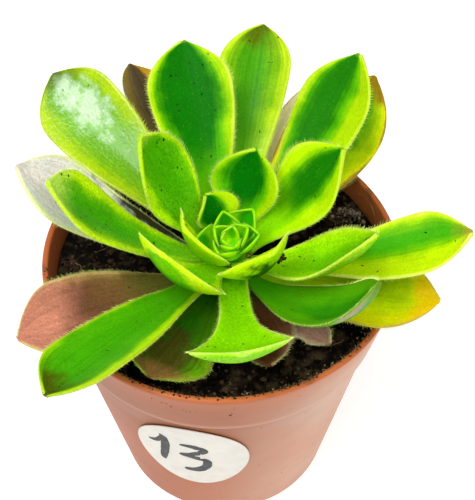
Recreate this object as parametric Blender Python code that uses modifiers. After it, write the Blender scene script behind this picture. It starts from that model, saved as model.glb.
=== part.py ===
"""Potted aeonium: a loose rosette of fleshy leaves on a short leaning stem, in a round nursery pot.

Units are metres and degrees, +Z is up, and the origin is the middle of the pot's underside. The viewer of the
photograph stands at -Y, so azimuth 270 points at the viewer, 0 to the right and 90 away.
"""

import math
from dataclasses import dataclass

import bmesh
import bpy
from mathutils import Matrix, Vector, noise

MM = 0.001
CLEARANCE = 0.3 * MM

POT_HEIGHT = 76 * MM
RIM_RADIUS = 42.5 * MM
BAND_FOOT_RADIUS = 39.3 * MM
BAND_HEIGHT = 16.5 * MM
BODY_TOP_RADIUS = 38.4 * MM
FOOT_RADIUS = 28.8 * MM
WALL = 1.5 * MM
FLOOR = 2.0 * MM
EDGE = 0.5 * MM
TURN_STEPS = 48
DRAIN_HOLES = 6
DRAIN_RADIUS = 2.5 * MM
DRAIN_CIRCLE = 19 * MM

LABEL_HALF_WIDTH = 14.0 * MM
LABEL_HALF_HEIGHT = 17.3 * MM
LABEL_LEAN = -4.5
LABEL_AZIMUTH = 257.9
LABEL_MIDDLE = 39.1 * MM
LABEL_THICKNESS = 0.3 * MM

SOIL_TOP = 70.4 * MM
SOIL_LUMP = 0.9 * MM
SOIL_LUMP_SIZE = 6 * MM
SOIL_RINGS = 9

STEM_X = 2.0 * MM
STEM_Y = -2.5 * MM
STEM_LEAN = -0.285
STEM_FOOT = 58.3 * MM
STEM_BEND = 71 * MM
STEM_TOP = 83.4 * MM
STEM_FOOT_RADIUS = 4.5 * MM
STEM_TOP_RADIUS = 3.5 * MM

YOUNGEST_ROOT = 83.4 * MM
ROOT_STEP = 0.45 * MM
LEAF_THICKNESS = 1.8 * MM
MARGIN_SHARE = 0.38
LEAF_ROWS = 10
LEAF_COLUMNS = 6

BUD_TURNS = (50, 187, 0, 104, 246, 25, 150, 290, 70, 205)
BUD_ROWS = 6
BUD_COLUMNS = 4
BUD_TILT = 18
FRESH, OLD, BRONZE, YELLOW = "fresh", "old", "bronze", "yellow"


@dataclass(frozen=True)
class Leaf:
    """One leaf. turn is its compass direction; rise and tip are its slopes at root and tip, in degrees.

    sweep bends it sideways, roll turns its face about its length, cup lifts its margins, and late holds the
    bend back towards the tip. length and width are in millimetres, widest is a share of the length, neck is
    the root's share of the width, and a high flare keeps the blade that narrow for longer.
    """

    turn: float
    rise: float
    tip: float
    sweep: float
    roll: float
    length: float
    width: float
    widest: float
    cup: float = 15
    late: float = 1.3
    neck: float = 0.22
    flare: float = 1.8
    age: str = FRESH


# Youngest first: each leaf's root sits a step lower on the stem than the one before.
LEAVES = (
    Leaf(115, 67, 44, 33, 0, 10.5, 12, 0.60, cup=18),
    Leaf(219, 49, 84, 0, -6, 17, 18.5, 0.60, cup=20),
    Leaf(70, 45, 62, -4, -4, 21, 18, 0.62, cup=22),
    Leaf(299, 25, 88, 0, 8, 22.5, 20, 0.64, cup=25),
    Leaf(154, 46, 80, 13, -4, 33.5, 19.8, 0.66),
    Leaf(22.5, 38, 60, -7, 6, 33, 20.5, 0.66),
    Leaf(238, 20, 90, -3, -7, 33.5, 23, 0.74),
    Leaf(107, 34, 34, -7, -9, 49, 21, 0.76),
    Leaf(331.5, 15, 74, 4, -4, 41, 17.5, 0.50, cup=25, neck=0.14),
    Leaf(194.5, 30, 64, -6, 0, 47.5, 18, 0.79),
    Leaf(42, 33, 58, 10, -4, 52, 19, 0.76),
    Leaf(275, 7, 80, -3, 8, 42, 22, 0.84, late=2.6, neck=0.32, flare=6),
    Leaf(138.5, 20, 10, -12, -35, 62, 21.5, 0.78),
    Leaf(349.5, 9, 36, 6, 11, 52.5, 16.5, 0.79),
    Leaf(83, 28, 18, -3, -4, 59, 19, 0.77),
    Leaf(229.5, 12, 8, 0, 17, 53, 19, 0.81),
    Leaf(175, 21, 52, 3, -7, 51, 19, 0.75),
    Leaf(310, 6, 84, 12, 8, 54, 15.5, 0.60, cup=25),
    Leaf(49, 20, 19, 6, 26, 56.5, 23, 0.65, age=YELLOW),
    Leaf(112, 23, 0, 8, 20, 60, 18.5, 0.68, age=BRONZE),
    Leaf(210, 5, 7, -4, -4, 48, 23, 0.74, neck=0.16, age=OLD),
    Leaf(340.5, 9, 4, 6, 18, 45, 21, 0.66, neck=0.2, age=YELLOW),
    Leaf(289, 6, 0, -6, -3, 26, 16, 0.69, cup=10, age=BRONZE),
    Leaf(243.5, 0, 14, -3, 0, 33, 22, 0.80, cup=8, neck=0.14, age=BRONZE),
    Leaf(315.5, -2.5, 10, -4, 0, 27.5, 9.5, 0.70, neck=0.15, age=OLD),
    Leaf(57, 10, 12, 32, 3, 56, 18, 0.67, age=OLD),
)

LEAF_COLOURS = {
    FRESH: (0.18, 0.50, 0.02),
    OLD: (0.42, 0.24, 0.17),
    BRONZE: (0.13, 0.11, 0.03),
    YELLOW: (0.55, 0.50, 0.02),
}


def principled(name, colour, roughness):
    """A plain material with one colour and one roughness."""
    material = bpy.data.materials.new(name)
    material.use_nodes = True
    shader = material.node_tree.nodes["Principled BSDF"]
    shader.inputs["Base Color"].default_value = (*colour, 1)
    shader.inputs["Roughness"].default_value = roughness
    shader.inputs["Metallic"].default_value = 0
    return material


def collection_of(name):
    """A new collection in the scene."""
    collection = bpy.data.collections.new(name)
    bpy.context.scene.collection.children.link(collection)
    return collection


def finish(piece, name, colour, roughness, collection):
    """Names a piece, gives it its material and puts it in the object's collection."""
    piece.name = name
    piece.data.name = name
    piece.data.materials.clear()
    piece.data.materials.append(principled(name, colour, roughness))
    for old in list(piece.users_collection):
        old.objects.unlink(piece)
    collection.objects.link(piece)
    return piece


def apply_modifiers(piece):
    """Applies all of a piece's modifiers, in order."""
    bpy.ops.object.select_all(action="DESELECT")
    piece.select_set(True)
    bpy.context.view_layer.objects.active = piece
    for modifier in list(piece.modifiers):
        bpy.ops.object.modifier_apply(modifier=modifier.name)
    return piece


def turned(name, profile):
    """A solid turned about Z from a profile of (radius, height) that runs top to bottom on its outer side."""
    mesh = bpy.data.meshes.new(name)
    edges = [(i, i + 1) for i in range(len(profile) - 1)]
    mesh.from_pydata([(radius, 0, height) for radius, height in profile], edges, [])
    piece = bpy.data.objects.new(name, mesh)
    bpy.context.scene.collection.objects.link(piece)
    screw = piece.modifiers.new("turn", "SCREW")
    screw.steps = TURN_STEPS
    screw.render_steps = TURN_STEPS
    screw.use_merge_vertices = True
    screw.merge_threshold = 0.01 * MM
    return apply_modifiers(piece)


def cut(piece, cutters, solver="EXACT"):
    """Cuts the cutters out of a piece and removes them."""
    for cutter in cutters:
        cutter.hide_render = True
        cutter.display_type = "WIRE"
        boolean = piece.modifiers.new("cut", "BOOLEAN")
        boolean.operation = "DIFFERENCE"
        boolean.solver = solver
        boolean.object = cutter
    apply_modifiers(piece)
    for cutter in cutters:
        bpy.data.objects.remove(cutter)
    return piece


def body_radius(height):
    """The outer radius of the pot's tapered body under the band."""
    share = height / (POT_HEIGHT - BAND_HEIGHT)
    return FOOT_RADIUS + (BODY_TOP_RADIUS - FOOT_RADIUS) * share


def inner_outline(inset):
    """The pot's inner wall, from the floor up to the lip, moved inwards by an inset."""
    band_foot = POT_HEIGHT - BAND_HEIGHT
    return [
        (body_radius(FLOOR) - WALL - inset, FLOOR),
        (BODY_TOP_RADIUS - WALL - inset, band_foot),
        (BAND_FOOT_RADIUS - WALL - inset, band_foot + WALL),
        (RIM_RADIUS - WALL - inset, POT_HEIGHT - EDGE),
    ]


def make_pot(collection):
    """The pot: a tapered shell with a collar band, a lip, and drain holes round a solid flat middle."""
    band_foot = POT_HEIGHT - BAND_HEIGHT
    outer = [
        (RIM_RADIUS - WALL + EDGE, POT_HEIGHT),
        (RIM_RADIUS - EDGE, POT_HEIGHT),
        (RIM_RADIUS, POT_HEIGHT - EDGE),
        (BAND_FOOT_RADIUS, band_foot + EDGE),
        (BAND_FOOT_RADIUS - EDGE, band_foot),
        (BODY_TOP_RADIUS, band_foot - EDGE),
        (FOOT_RADIUS, 2 * EDGE),
        (FOOT_RADIUS - 2 * EDGE, 0),
    ]
    pot = turned("pot", [(0, FLOOR), *inner_outline(0), *outer, (0, 0)])
    holes = []
    for index in range(DRAIN_HOLES):
        angle = math.tau * index / DRAIN_HOLES
        place = (DRAIN_CIRCLE * math.cos(angle), DRAIN_CIRCLE * math.sin(angle), FLOOR / 2)
        bpy.ops.mesh.primitive_cylinder_add(vertices=12, radius=DRAIN_RADIUS, depth=3 * FLOOR, location=place)
        holes.append(bpy.context.object)
    cut(pot, holes)
    pot.data.shade_smooth()
    pot.data.set_sharp_from_angle(angle=math.radians(30))
    return finish(pot, "pot", (0.55, 0.19, 0.11), 0.6, collection)


def make_label(collection):
    """The oval sticker, curved to the wall and held off it by the clearance."""
    bpy.ops.mesh.primitive_circle_add(vertices=32, radius=1, fill_type="TRIFAN")
    label = bpy.context.object
    shape = bmesh.new()
    shape.from_mesh(label.data)
    spokes = [edge for edge in shape.edges if not edge.is_boundary]
    bmesh.ops.subdivide_edges(shape, edges=spokes, cuts=3)
    lean = math.radians(LABEL_LEAN)
    for vertex in shape.verts:
        across = vertex.co.x * LABEL_HALF_WIDTH
        up = vertex.co.y * LABEL_HALF_HEIGHT
        along = across * math.cos(lean) - up * math.sin(lean)
        height = LABEL_MIDDLE + across * math.sin(lean) + up * math.cos(lean)
        angle = math.radians(LABEL_AZIMUTH) + along / body_radius(LABEL_MIDDLE)
        radius = body_radius(height) + CLEARANCE
        vertex.co = (radius * math.cos(angle), radius * math.sin(angle), height)
    bmesh.ops.triangulate(shape, faces=shape.faces)
    shape.to_mesh(label.data)
    shape.free()
    skin = label.modifiers.new("thickness", "SOLIDIFY")
    skin.thickness = LABEL_THICKNESS
    skin.offset = 1
    apply_modifiers(label)
    return finish(label, "label", (0.85, 0.83, 0.78), 0.5, collection)


def soil_height(x, y):
    """The height of the lumpy soil at a place."""
    place = Vector((x, y, 0)) / SOIL_LUMP_SIZE
    return SOIL_TOP + SOIL_LUMP * noise.noise(place)


def make_soil(collection):
    """The soil that fills the pot, with a lumpy top and a plain hole for the stem."""
    foot, band_foot, band, lip = inner_outline(CLEARANCE)
    share = (SOIL_TOP - band[1]) / (lip[1] - band[1])
    edge = band[0] + (lip[0] - band[0]) * share
    top = [(edge * ring / SOIL_RINGS, SOIL_TOP) for ring in range(SOIL_RINGS + 1)]
    floor = FLOOR + CLEARANCE
    soil = turned("soil", [*top, band, band_foot, (foot[0], floor), (0, floor)])
    for vertex in soil.data.vertices:
        x, y, z = vertex.co
        if abs(z - SOIL_TOP) < EDGE and math.hypot(x, y) < edge - EDGE:
            vertex.co.z = soil_height(x, y)
    depth = SOIL_TOP - STEM_FOOT + CLEARANCE
    place = (STEM_X, STEM_Y, STEM_FOOT - CLEARANCE + depth)
    radius = STEM_FOOT_RADIUS + 2 * CLEARANCE
    bpy.ops.mesh.primitive_cylinder_add(vertices=24, radius=radius, depth=2 * depth, location=place)
    cut(soil, [bpy.context.object])
    return finish(soil, "soil", (0.02, 0.013, 0.009), 0.95, collection)


def stem_axis(height):
    """The middle of the stem at a height: straight in the soil, leaning towards -Y above it."""
    return Vector((STEM_X, STEM_Y + STEM_LEAN * max(height - STEM_BEND, 0), height))


def stem_radius(height):
    """The stem's radius at a height."""
    share = min(max((height - STEM_BEND) / (STEM_TOP - STEM_BEND), 0), 1)
    return STEM_FOOT_RADIUS + (STEM_TOP_RADIUS - STEM_FOOT_RADIUS) * share


def make_stem(collection):
    """The short fleshy stem, a tapered tube that stands in the soil's hole."""
    heights = [STEM_FOOT, STEM_BEND - 2 * MM, STEM_BEND + MM]
    heights += [STEM_BEND + (STEM_TOP - STEM_BEND) * step / 4 for step in (1, 2, 3, 4)]
    curve = bpy.data.curves.new("stem", "CURVE")
    curve.dimensions = "3D"
    curve.bevel_depth = STEM_FOOT_RADIUS
    curve.bevel_resolution = 4
    curve.use_fill_caps = True
    spline = curve.splines.new("POLY")
    spline.points.add(len(heights) - 1)
    for point, height in zip(spline.points, heights):
        point.co = (*stem_axis(height), 1)
        point.radius = stem_radius(height) / STEM_FOOT_RADIUS
    stem = bpy.data.objects.new("stem", curve)
    return finish(stem, "stem", (0.20, 0.22, 0.06), 0.6, collection)


def outline_width(share, leaf):
    """A leaf's width at a share of its length, as a share of its full width."""
    if share < leaf.widest:
        growth = math.sin(math.pi / 2 * share / leaf.widest) ** leaf.flare
        return leaf.neck + (1 - leaf.neck) * growth
    fall = (share - leaf.widest) / (1 - leaf.widest)
    return max(1 - fall**2.1, 0) ** 0.9


def leaf_frames(leaf, start):
    """Middle, side, face and direction vectors of a leaf at each of its rows."""
    fine = 8
    steps = LEAF_ROWS * fine
    middle = Vector(start)
    frames = []
    before = None
    reached = 0.0
    for step in range(steps + 1):
        share = 1 - (1 - step / steps) ** 1.4
        slope = math.radians(leaf.rise + (leaf.tip - leaf.rise) * share**leaf.late)
        turn = math.radians(leaf.turn + leaf.sweep * share**1.5)
        roll = math.radians(leaf.roll) * share**0.7
        along = Vector((math.cos(slope) * math.cos(turn), math.cos(slope) * math.sin(turn), math.sin(slope)))
        level = Vector((-math.sin(turn), math.cos(turn), 0))
        over = along.cross(level)
        side = level * math.cos(roll) + over * math.sin(roll)
        face = over * math.cos(roll) - level * math.sin(roll)
        if before is not None:
            middle = middle + (before + along) / 2 * (share - reached) * leaf.length * MM
        before = along
        reached = share
        if step % fine == 0:
            frames.append((share, middle.copy(), side, face, along))
    return frames


def blade(name, leaf, start, rows, columns, thickness):
    """A leaf's blade: a grid that is laid along the leaf's frames, split into triangles and given thickness."""
    bpy.ops.mesh.primitive_grid_add(x_subdivisions=columns, y_subdivisions=rows, size=2)
    piece = bpy.context.object
    piece.name = name
    frames = leaf_frames(leaf, start)
    last = len(frames) - 1
    cup = math.radians(leaf.cup)
    weights = piece.vertex_groups.new(name="thickness")
    for vertex in piece.data.vertices:
        across = vertex.co.x
        row = round((vertex.co.y + 1) / 2 * rows) * last // rows
        share, middle, side, face, _ = frames[row]
        half = leaf.width * MM / 2 * max(outline_width(share, leaf), 0.05)
        out = half * across * (1 - (1 - math.cos(cup)) * abs(across))
        lift = half * math.sin(cup) * abs(across) ** 1.6
        vertex.co = middle + side * out + face * lift
        weights.add([vertex.index], (1 - abs(across) ** 2.5) * (1 - 0.5 * share), "REPLACE")
    split = piece.modifiers.new("split", "TRIANGULATE")
    split.quad_method = "BEAUTY"
    skin = piece.modifiers.new("thickness", "SOLIDIFY")
    skin.thickness = thickness
    skin.offset = 0
    skin.vertex_group = "thickness"
    skin.thickness_vertex_group = MARGIN_SHARE
    return apply_modifiers(piece)


def make_leaf(number, leaf, collection):
    """One leaf of the rosette, with its root against the stem."""
    height = YOUNGEST_ROOT - ROOT_STEP * (number - 1)
    turn = math.radians(leaf.turn)
    gap = 1.5 * CLEARANCE + LEAF_THICKNESS / 2 * math.sin(math.radians(leaf.rise))
    outward = Vector((math.cos(turn), math.sin(turn), 0)) * (stem_radius(height) + gap)
    name = f"leaf_{number:02d}"
    piece = blade(name, leaf, stem_axis(height) + outward, LEAF_ROWS, LEAF_COLUMNS, LEAF_THICKNESS)
    piece.data.shade_smooth()
    piece.data.set_sharp_from_angle(angle=math.radians(50))
    return finish(piece, name, LEAF_COLOURS[leaf.age], 0.35, collection)


def make_bud(collection):
    """The bud: young leaves in a spiral, joined to the core that they grow from."""
    helpers = collection_of("bud pieces")
    base = STEM_TOP + 1.5 * CLEARANCE
    core_height = 4 * MM
    middle = stem_axis(base + core_height / 2)
    bpy.ops.mesh.primitive_uv_sphere_add(segments=12, ring_count=8, radius=1, location=middle)
    core = bpy.context.object
    core.scale = (3.4 * MM, 3.4 * MM, core_height / 2)
    bpy.ops.object.transform_apply(location=True, rotation=False, scale=True)
    for index in range(len(BUD_TURNS)):
        age = index / (len(BUD_TURNS) - 1)
        leaf = Leaf(
            turn=BUD_TURNS[index],
            rise=35 + 30 * age,
            tip=80 + 20 * age,
            sweep=0,
            roll=0,
            length=9.2 - 2.7 * age,
            width=10.5 - 5 * age,
            widest=0.62,
            cup=42,
            neck=0.75,
        )
        turn = math.radians(leaf.turn)
        height = base + (0.8 + 1.0 * age) * MM
        outward = Vector((math.cos(turn), math.sin(turn), 0)) * (2.9 - 2.2 * age) * MM
        piece = blade("bud leaf", leaf, stem_axis(height) + outward, BUD_ROWS, BUD_COLUMNS, 0.9 * MM)
        for old in list(piece.users_collection):
            old.objects.unlink(piece)
        helpers.objects.link(piece)
    union = core.modifiers.new("join", "BOOLEAN")
    union.operation = "UNION"
    union.operand_type = "COLLECTION"
    union.collection = helpers
    union.solver = "MANIFOLD"
    apply_modifiers(core)
    for piece in list(helpers.objects):
        bpy.data.objects.remove(piece)
    bpy.data.collections.remove(helpers)
    pivot = Matrix.Translation(stem_axis(base))
    core.data.transform(pivot @ Matrix.Rotation(math.radians(BUD_TILT), 4, "X") @ pivot.inverted())
    core.data.shade_smooth()
    core.data.set_sharp_from_angle(angle=math.radians(50))
    return finish(core, "bud", LEAF_COLOURS[FRESH], 0.35, collection)


def clear_scene():
    """Removes what the scene holds."""
    for thing in list(bpy.data.objects):
        bpy.data.objects.remove(thing)


def main():
    """Builds the potted plant."""
    clear_scene()
    collection = collection_of("potted aeonium")
    make_pot(collection)
    make_label(collection)
    make_soil(collection)
    make_stem(collection)
    make_bud(collection)
    for number, leaf in enumerate(LEAVES, start=1):
        make_leaf(number, leaf, collection)


if __name__ == "__main__":
    main()
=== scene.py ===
"""A potted aeonium: finer leaves, soil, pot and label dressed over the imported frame.

Lengths are metres and angles degrees, unless a docstring says otherwise. +Z is up and the photograph's viewer
stands at -Y, so azimuth 270 points at the viewer, 0 to the right and 90 away.
"""

import logging
import math
import random
from collections.abc import Callable, Iterable, Sequence
from dataclasses import dataclass, field, fields, replace
from enum import Enum
from functools import cache
from typing import NamedTuple

import bpy
from mathutils import Matrix, Vector, noise

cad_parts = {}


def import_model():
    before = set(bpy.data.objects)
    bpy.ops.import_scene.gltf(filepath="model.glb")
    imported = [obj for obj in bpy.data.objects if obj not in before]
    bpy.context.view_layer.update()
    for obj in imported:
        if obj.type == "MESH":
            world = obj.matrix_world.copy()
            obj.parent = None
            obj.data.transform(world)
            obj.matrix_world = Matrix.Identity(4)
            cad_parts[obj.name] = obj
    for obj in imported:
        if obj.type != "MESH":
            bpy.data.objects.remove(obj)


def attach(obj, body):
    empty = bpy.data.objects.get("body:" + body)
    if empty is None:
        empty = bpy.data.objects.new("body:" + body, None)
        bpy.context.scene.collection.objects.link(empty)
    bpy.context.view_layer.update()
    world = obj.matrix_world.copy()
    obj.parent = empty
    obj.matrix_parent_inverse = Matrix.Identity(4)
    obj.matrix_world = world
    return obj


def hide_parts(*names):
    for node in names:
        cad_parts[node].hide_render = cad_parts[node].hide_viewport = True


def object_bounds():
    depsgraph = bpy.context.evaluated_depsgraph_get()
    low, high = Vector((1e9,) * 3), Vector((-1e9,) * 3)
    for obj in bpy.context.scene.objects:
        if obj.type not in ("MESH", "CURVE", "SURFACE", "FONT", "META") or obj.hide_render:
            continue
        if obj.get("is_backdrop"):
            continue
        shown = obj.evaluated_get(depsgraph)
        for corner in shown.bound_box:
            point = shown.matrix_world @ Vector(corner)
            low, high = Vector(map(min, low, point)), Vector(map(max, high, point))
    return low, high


MM = 0.001
UP = Vector((0, 0, 1))
LOG = logging.getLogger("aeonium")

Colour = tuple[float, float, float]


class Margin(Enum):
    """A margin of a blade, as the sign of its side direction."""

    LEFT = 1
    RIGHT = -1


class Grain(Enum):
    """How finely a loose lump is modelled, as its sphere's subdivisions."""

    CRUMB = 1
    LUMP = 2


class Frame(NamedTuple):
    """A leaf's middle, side, face and direction at a share of its length."""

    share: float
    middle: Vector
    side: Vector
    face: Vector
    along: Vector


class Field:
    """A number, colour or place that changes over a surface. Arithmetic on it adds Math nodes."""

    def __init__(self, sheet: "Sheet", socket: bpy.types.NodeSocket) -> None:
        """Keeps the sheet and the socket."""
        self.sheet = sheet
        self.socket = socket

    def __add__(self, other: "Value") -> "Field":
        """Adds a value."""
        return self.sheet.calc("ADD", self, other)

    def __sub__(self, other: "Value") -> "Field":
        """Takes a value away."""
        return self.sheet.calc("SUBTRACT", self, other)

    def __mul__(self, other: "Value") -> "Field":
        """Multiplies by a value."""
        return self.sheet.calc("MULTIPLY", self, other)

    def __abs__(self) -> "Field":
        """Drops the sign."""
        return self.sheet.calc("ABSOLUTE", self)

    def part(self, output: str | int) -> "Field":
        """Gives another output of the same node."""
        return Field(self.sheet, self.socket.node.outputs[output])

    def rises(self, low: "Value", high: "Value") -> "Field":
        """Goes smoothly from 0 at the low value to 1 at the high one."""
        inputs = {"Value": self, "From Min": low, "From Max": high}
        return self.sheet.node("ShaderNodeMapRange", inputs, interpolation_type="SMOOTHSTEP")

    def falls(self, low: "Value", high: "Value") -> "Field":
        """Goes smoothly from 1 at the low value to 0 at the high one."""
        return self.sheet.calc("SUBTRACT", 1.0, self.rises(low, high))

    def mix(self, first: "Value", second: "Value") -> "Field":
        """Mixes from a first colour, where the mask is 0, to a second one, where it is 1."""
        return self.sheet.node("ShaderNodeMix", {0: self, 6: first, 7: second}, 2, data_type="RGBA")

    def clouds(self, scale: float, detail: float) -> "Field":
        """Gives soft noise over the place, from 0 to 1."""
        return self.sheet.node("ShaderNodeTexNoise", {"Vector": self, "Scale": scale, "Detail": detail})

    def specks(self, scale: float, size: float, share: float) -> "Field":
        """Gives a mask of scattered round specks over the place."""
        inputs = {"Vector": self, "Scale": scale, "Size": size, "Share": share}
        return self.sheet.group(specks_group(), inputs)

    def dimple(self, strength: float, depth: float) -> "Field":
        """Turns a height, from 0 to 1, into a bumped normal."""
        return self.sheet.node("ShaderNodeBump", {"Height": self, "Strength": strength, "Distance": depth})


Value = float | Colour | Field


class Sheet:
    """A node tree that is being wired."""

    def __init__(self, tree: bpy.types.NodeTree) -> None:
        """Keeps the tree."""
        self.tree = tree

    def feed(self, sockets: bpy.types.bpy_prop_collection, values: dict[str | int, Value]) -> None:
        """Links fields to some sockets and sets others.

        Args:
            sockets: A node's inputs.
            values: A field, number or colour for each one's name or number.
        """
        for name, value in values.items():
            socket = sockets[name]
            if isinstance(value, Field):
                self.tree.links.new(value.socket, socket)
            elif isinstance(value, tuple) and socket.type == "RGBA":
                socket.default_value = (*value, 1)
            else:
                socket.default_value = value

    def node(
        self, kind: str, inputs: dict[str | int, Value], output: str | int = 0, **settings: object
    ) -> Field:
        """Adds a node.

        Args:
            kind: The node's type.
            inputs: What feeds its inputs, by name or number.
            output: Which of its outputs to give.
            **settings: Its other properties.

        Returns:
            The output.
        """
        node = self.tree.nodes.new(kind)
        for name, value in settings.items():
            setattr(node, name, value)
        self.feed(node.inputs, inputs)
        return Field(self, node.outputs[output])

    def calc(self, operation: str, *values: Value) -> Field:
        """Adds a Math node."""
        return self.node("ShaderNodeMath", dict(enumerate(values)), operation=operation)

    def group(self, tree: bpy.types.NodeTree, inputs: dict[str, Value]) -> Field:
        """Places a node group with its own values and gives its first output."""
        return self.node("ShaderNodeGroup", inputs, node_tree=tree)

    def attribute(self, name: str) -> Field:
        """Reads a number that the mesh carries at its points."""
        return self.node("ShaderNodeAttribute", {}, "Fac", attribute_name=name)


class Pattern(Sheet):
    """A node group that takes a Vector and named values."""

    def __init__(self, name: str, inputs: dict[str, Value], outputs: Sequence[str]) -> None:
        """Starts the group.

        Args:
            name: The group's name.
            inputs: Each value's name and default, a number or a colour.
            outputs: Each output's name. Colour is a colour and the rest are numbers.
        """
        super().__init__(bpy.data.node_groups.new(name, "ShaderNodeTree"))
        face = self.tree.interface
        face.new_socket(name="Vector", in_out="INPUT", socket_type="NodeSocketVector")
        for label, value in inputs.items():
            coloured = isinstance(value, tuple)
            kind = "NodeSocketColor" if coloured else "NodeSocketFloat"
            socket = face.new_socket(name=label, in_out="INPUT", socket_type=kind)
            socket.default_value = (*value, 1) if coloured else value
        for label in outputs:
            kind = "NodeSocketColor" if label == "Colour" else "NodeSocketFloat"
            face.new_socket(name=label, in_out="OUTPUT", socket_type=kind)
        entry = self.tree.nodes.new("NodeGroupInput")
        self.given = {socket.name: Field(self, socket) for socket in entry.outputs if socket.name}

    def finished(self, values: dict[str, Field]) -> bpy.types.NodeTree:
        """Feeds the group's outputs and gives the group."""
        self.feed(self.tree.nodes.new("NodeGroupOutput").inputs, values)
        return self.tree


@cache
def specks_group() -> bpy.types.NodeTree:
    """Builds the group of scattered round specks, once.

    Returns:
        A group with Vector, Scale, Size and Share in, and Mask out.
    """
    pattern = Pattern("specks", {"Scale": 400.0, "Size": 0.2, "Share": 0.3}, ["Mask"])
    given = pattern.given
    inputs = {"Vector": given["Vector"], "Scale": given["Scale"]}
    distance = pattern.node("ShaderNodeTexVoronoi", inputs, "Distance")
    luck = pattern.node("ShaderNodeSeparateColor", {"Color": distance.part("Color")})
    near = pattern.calc("LESS_THAN", distance, given["Size"])
    return pattern.finished({"Mask": near * pattern.calc("LESS_THAN", luck, given["Share"])})


@cache
def leaf_group() -> bpy.types.NodeTree:
    """Builds the pattern of a leaf over its own UV map, once.

    The heart is the dark middle, the flesh lies round it, the margin is the pale band and the rim its
    thin edge. The foot is the leaf's root end; where a finish paints it brighter than the flesh, that is
    partly the base's own lime and partly painted light near the stem. The apex is its very end, and a
    bruise is one soft patch at a place of its own: a real mark on most leaves, a painted reflection on
    the glossy one.

    Returns:
        A group with a LeafFinish's values in, and Colour, Roughness and Height out.
    """
    heart_fade, margin_fade, edge_fade, tip_side_fade = 0.35, 0.36, 0.2, 0.25
    values = LeafFinish("plain leaf").pattern_values()
    pattern = Pattern("leaf pattern", values, ["Colour", "Roughness", "Height"])
    given = pattern.given
    place = given["Vector"]
    flat = pattern.node("ShaderNodeUVMap", {}, uv_map="UVMap")
    side_share = pattern.node("ShaderNodeSeparateXYZ", {0: flat})
    along = side_share.part(1)
    side = side_share * 2.0 - 1.0
    drift = place.clouds(150, 3) - 0.5
    streak = pattern.node("ShaderNodeCombineXYZ", {0: side_share * 26.0, 1: along * 1.6}).clouds(1, 3)
    fibre = streak - 0.5
    ragged = abs(side) + fibre * 0.2 + drift * 0.3
    leant = abs(side - given["Lean"]) + fibre * 0.16 + drift * 0.5
    climb = along + drift * 0.3

    width = given["Heart Width"] * (along.rises(0.2, 0.7) * 0.4 + 0.6)
    heart = leant.falls(width - 0.22, width + 0.2)
    heart = heart * climb.rises(given["Heart From"], given["Heart From"] + heart_fade)
    heart = heart * climb.falls(given["Heart To"] - 0.2, given["Heart To"])
    colour = heart.mix(given["Flesh"], given["Heart"])
    wide = leant.rises(given["Margin From"], given["Margin From"] + margin_fade)
    narrow = ragged.rises(given["Edge From"], given["Edge From"] + edge_fade)
    colour = pattern.calc("MAXIMUM", wide, narrow).mix(colour, given["Margin"])
    # Foot colour at the root end: where it is brighter than the flesh, partly the base's own lime and partly
    # painted light near the stem.
    colour = climb.falls(0.0, given["Foot To"]).mix(colour, given["Foot"])

    reach = given["Bruise Reach"]
    gap_side = side - given["Bruise Across"]
    gap_along = (along - given["Bruise Along"]) * 2.2
    torn = (place.clouds(330, 4) - 0.5) * 2.0 + (drift + fibre)
    gap = pattern.calc("SQRT", gap_side * gap_side + gap_along * gap_along) + torn * reach
    # The bruise patch: a real mark on most leaves, a painted reflection of the window on the glossy leaf.
    colour = gap.falls(reach * 0.3, reach * 1.15).mix(colour, given["Bruise"])

    colour = (along.rises(0.98, 0.995) * given["Apex"]).mix(colour, given["Rim"])
    tip = climb.rises(given["Tip From"], given["Tip From"] + given["Tip Fade"])
    tip = tip * ragged.falls(given["Tip Width"], given["Tip Width"] + tip_side_fade)
    colour = ragged.rises(0.9, 1.02).mix(tip.mix(colour, given["Tip"]), given["Rim"])
    shade = drift * 0.35 + 1.0 + fibre * given["Streaks"] + (place.clouds(1900, 3) - 0.5) * given["Mottle"]
    grey = pattern.node("ShaderNodeCombineColor", {0: shade, 1: shade, 2: shade})
    shaded = {0: 1.0, 6: colour, 7: grey}
    colour = pattern.node("ShaderNodeMix", shaded, 2, data_type="RGBA", blend_type="MULTIPLY")

    roughness = place.clouds(420, 3) * 0.2 + (given["Gloss"] - 0.1)
    height = (streak * 0.5 + place.clouds(900, 4)) + place.clouds(170, 4) * given["Ripple"]
    return pattern.finished({"Colour": colour, "Roughness": roughness, "Height": height})


@dataclass(frozen=True)
class Finish:
    """A named surface finish."""

    name: str

    def surface(self, place: Field) -> dict[str, Value]:
        """Gives what feeds the shader's inputs, from the object's own coordinates."""
        raise NotImplementedError

    @cache
    def material(self) -> bpy.types.Material:
        """Builds the finish's material, once.

        Returns:
            The material.
        """
        material = bpy.data.materials.new(self.name)
        material.use_nodes = True
        sheet = Sheet(material.node_tree)
        place = sheet.node("ShaderNodeTexCoord", {}, "Object")
        sheet.feed(material.node_tree.nodes["Principled BSDF"].inputs, self.surface(place))
        return material


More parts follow.
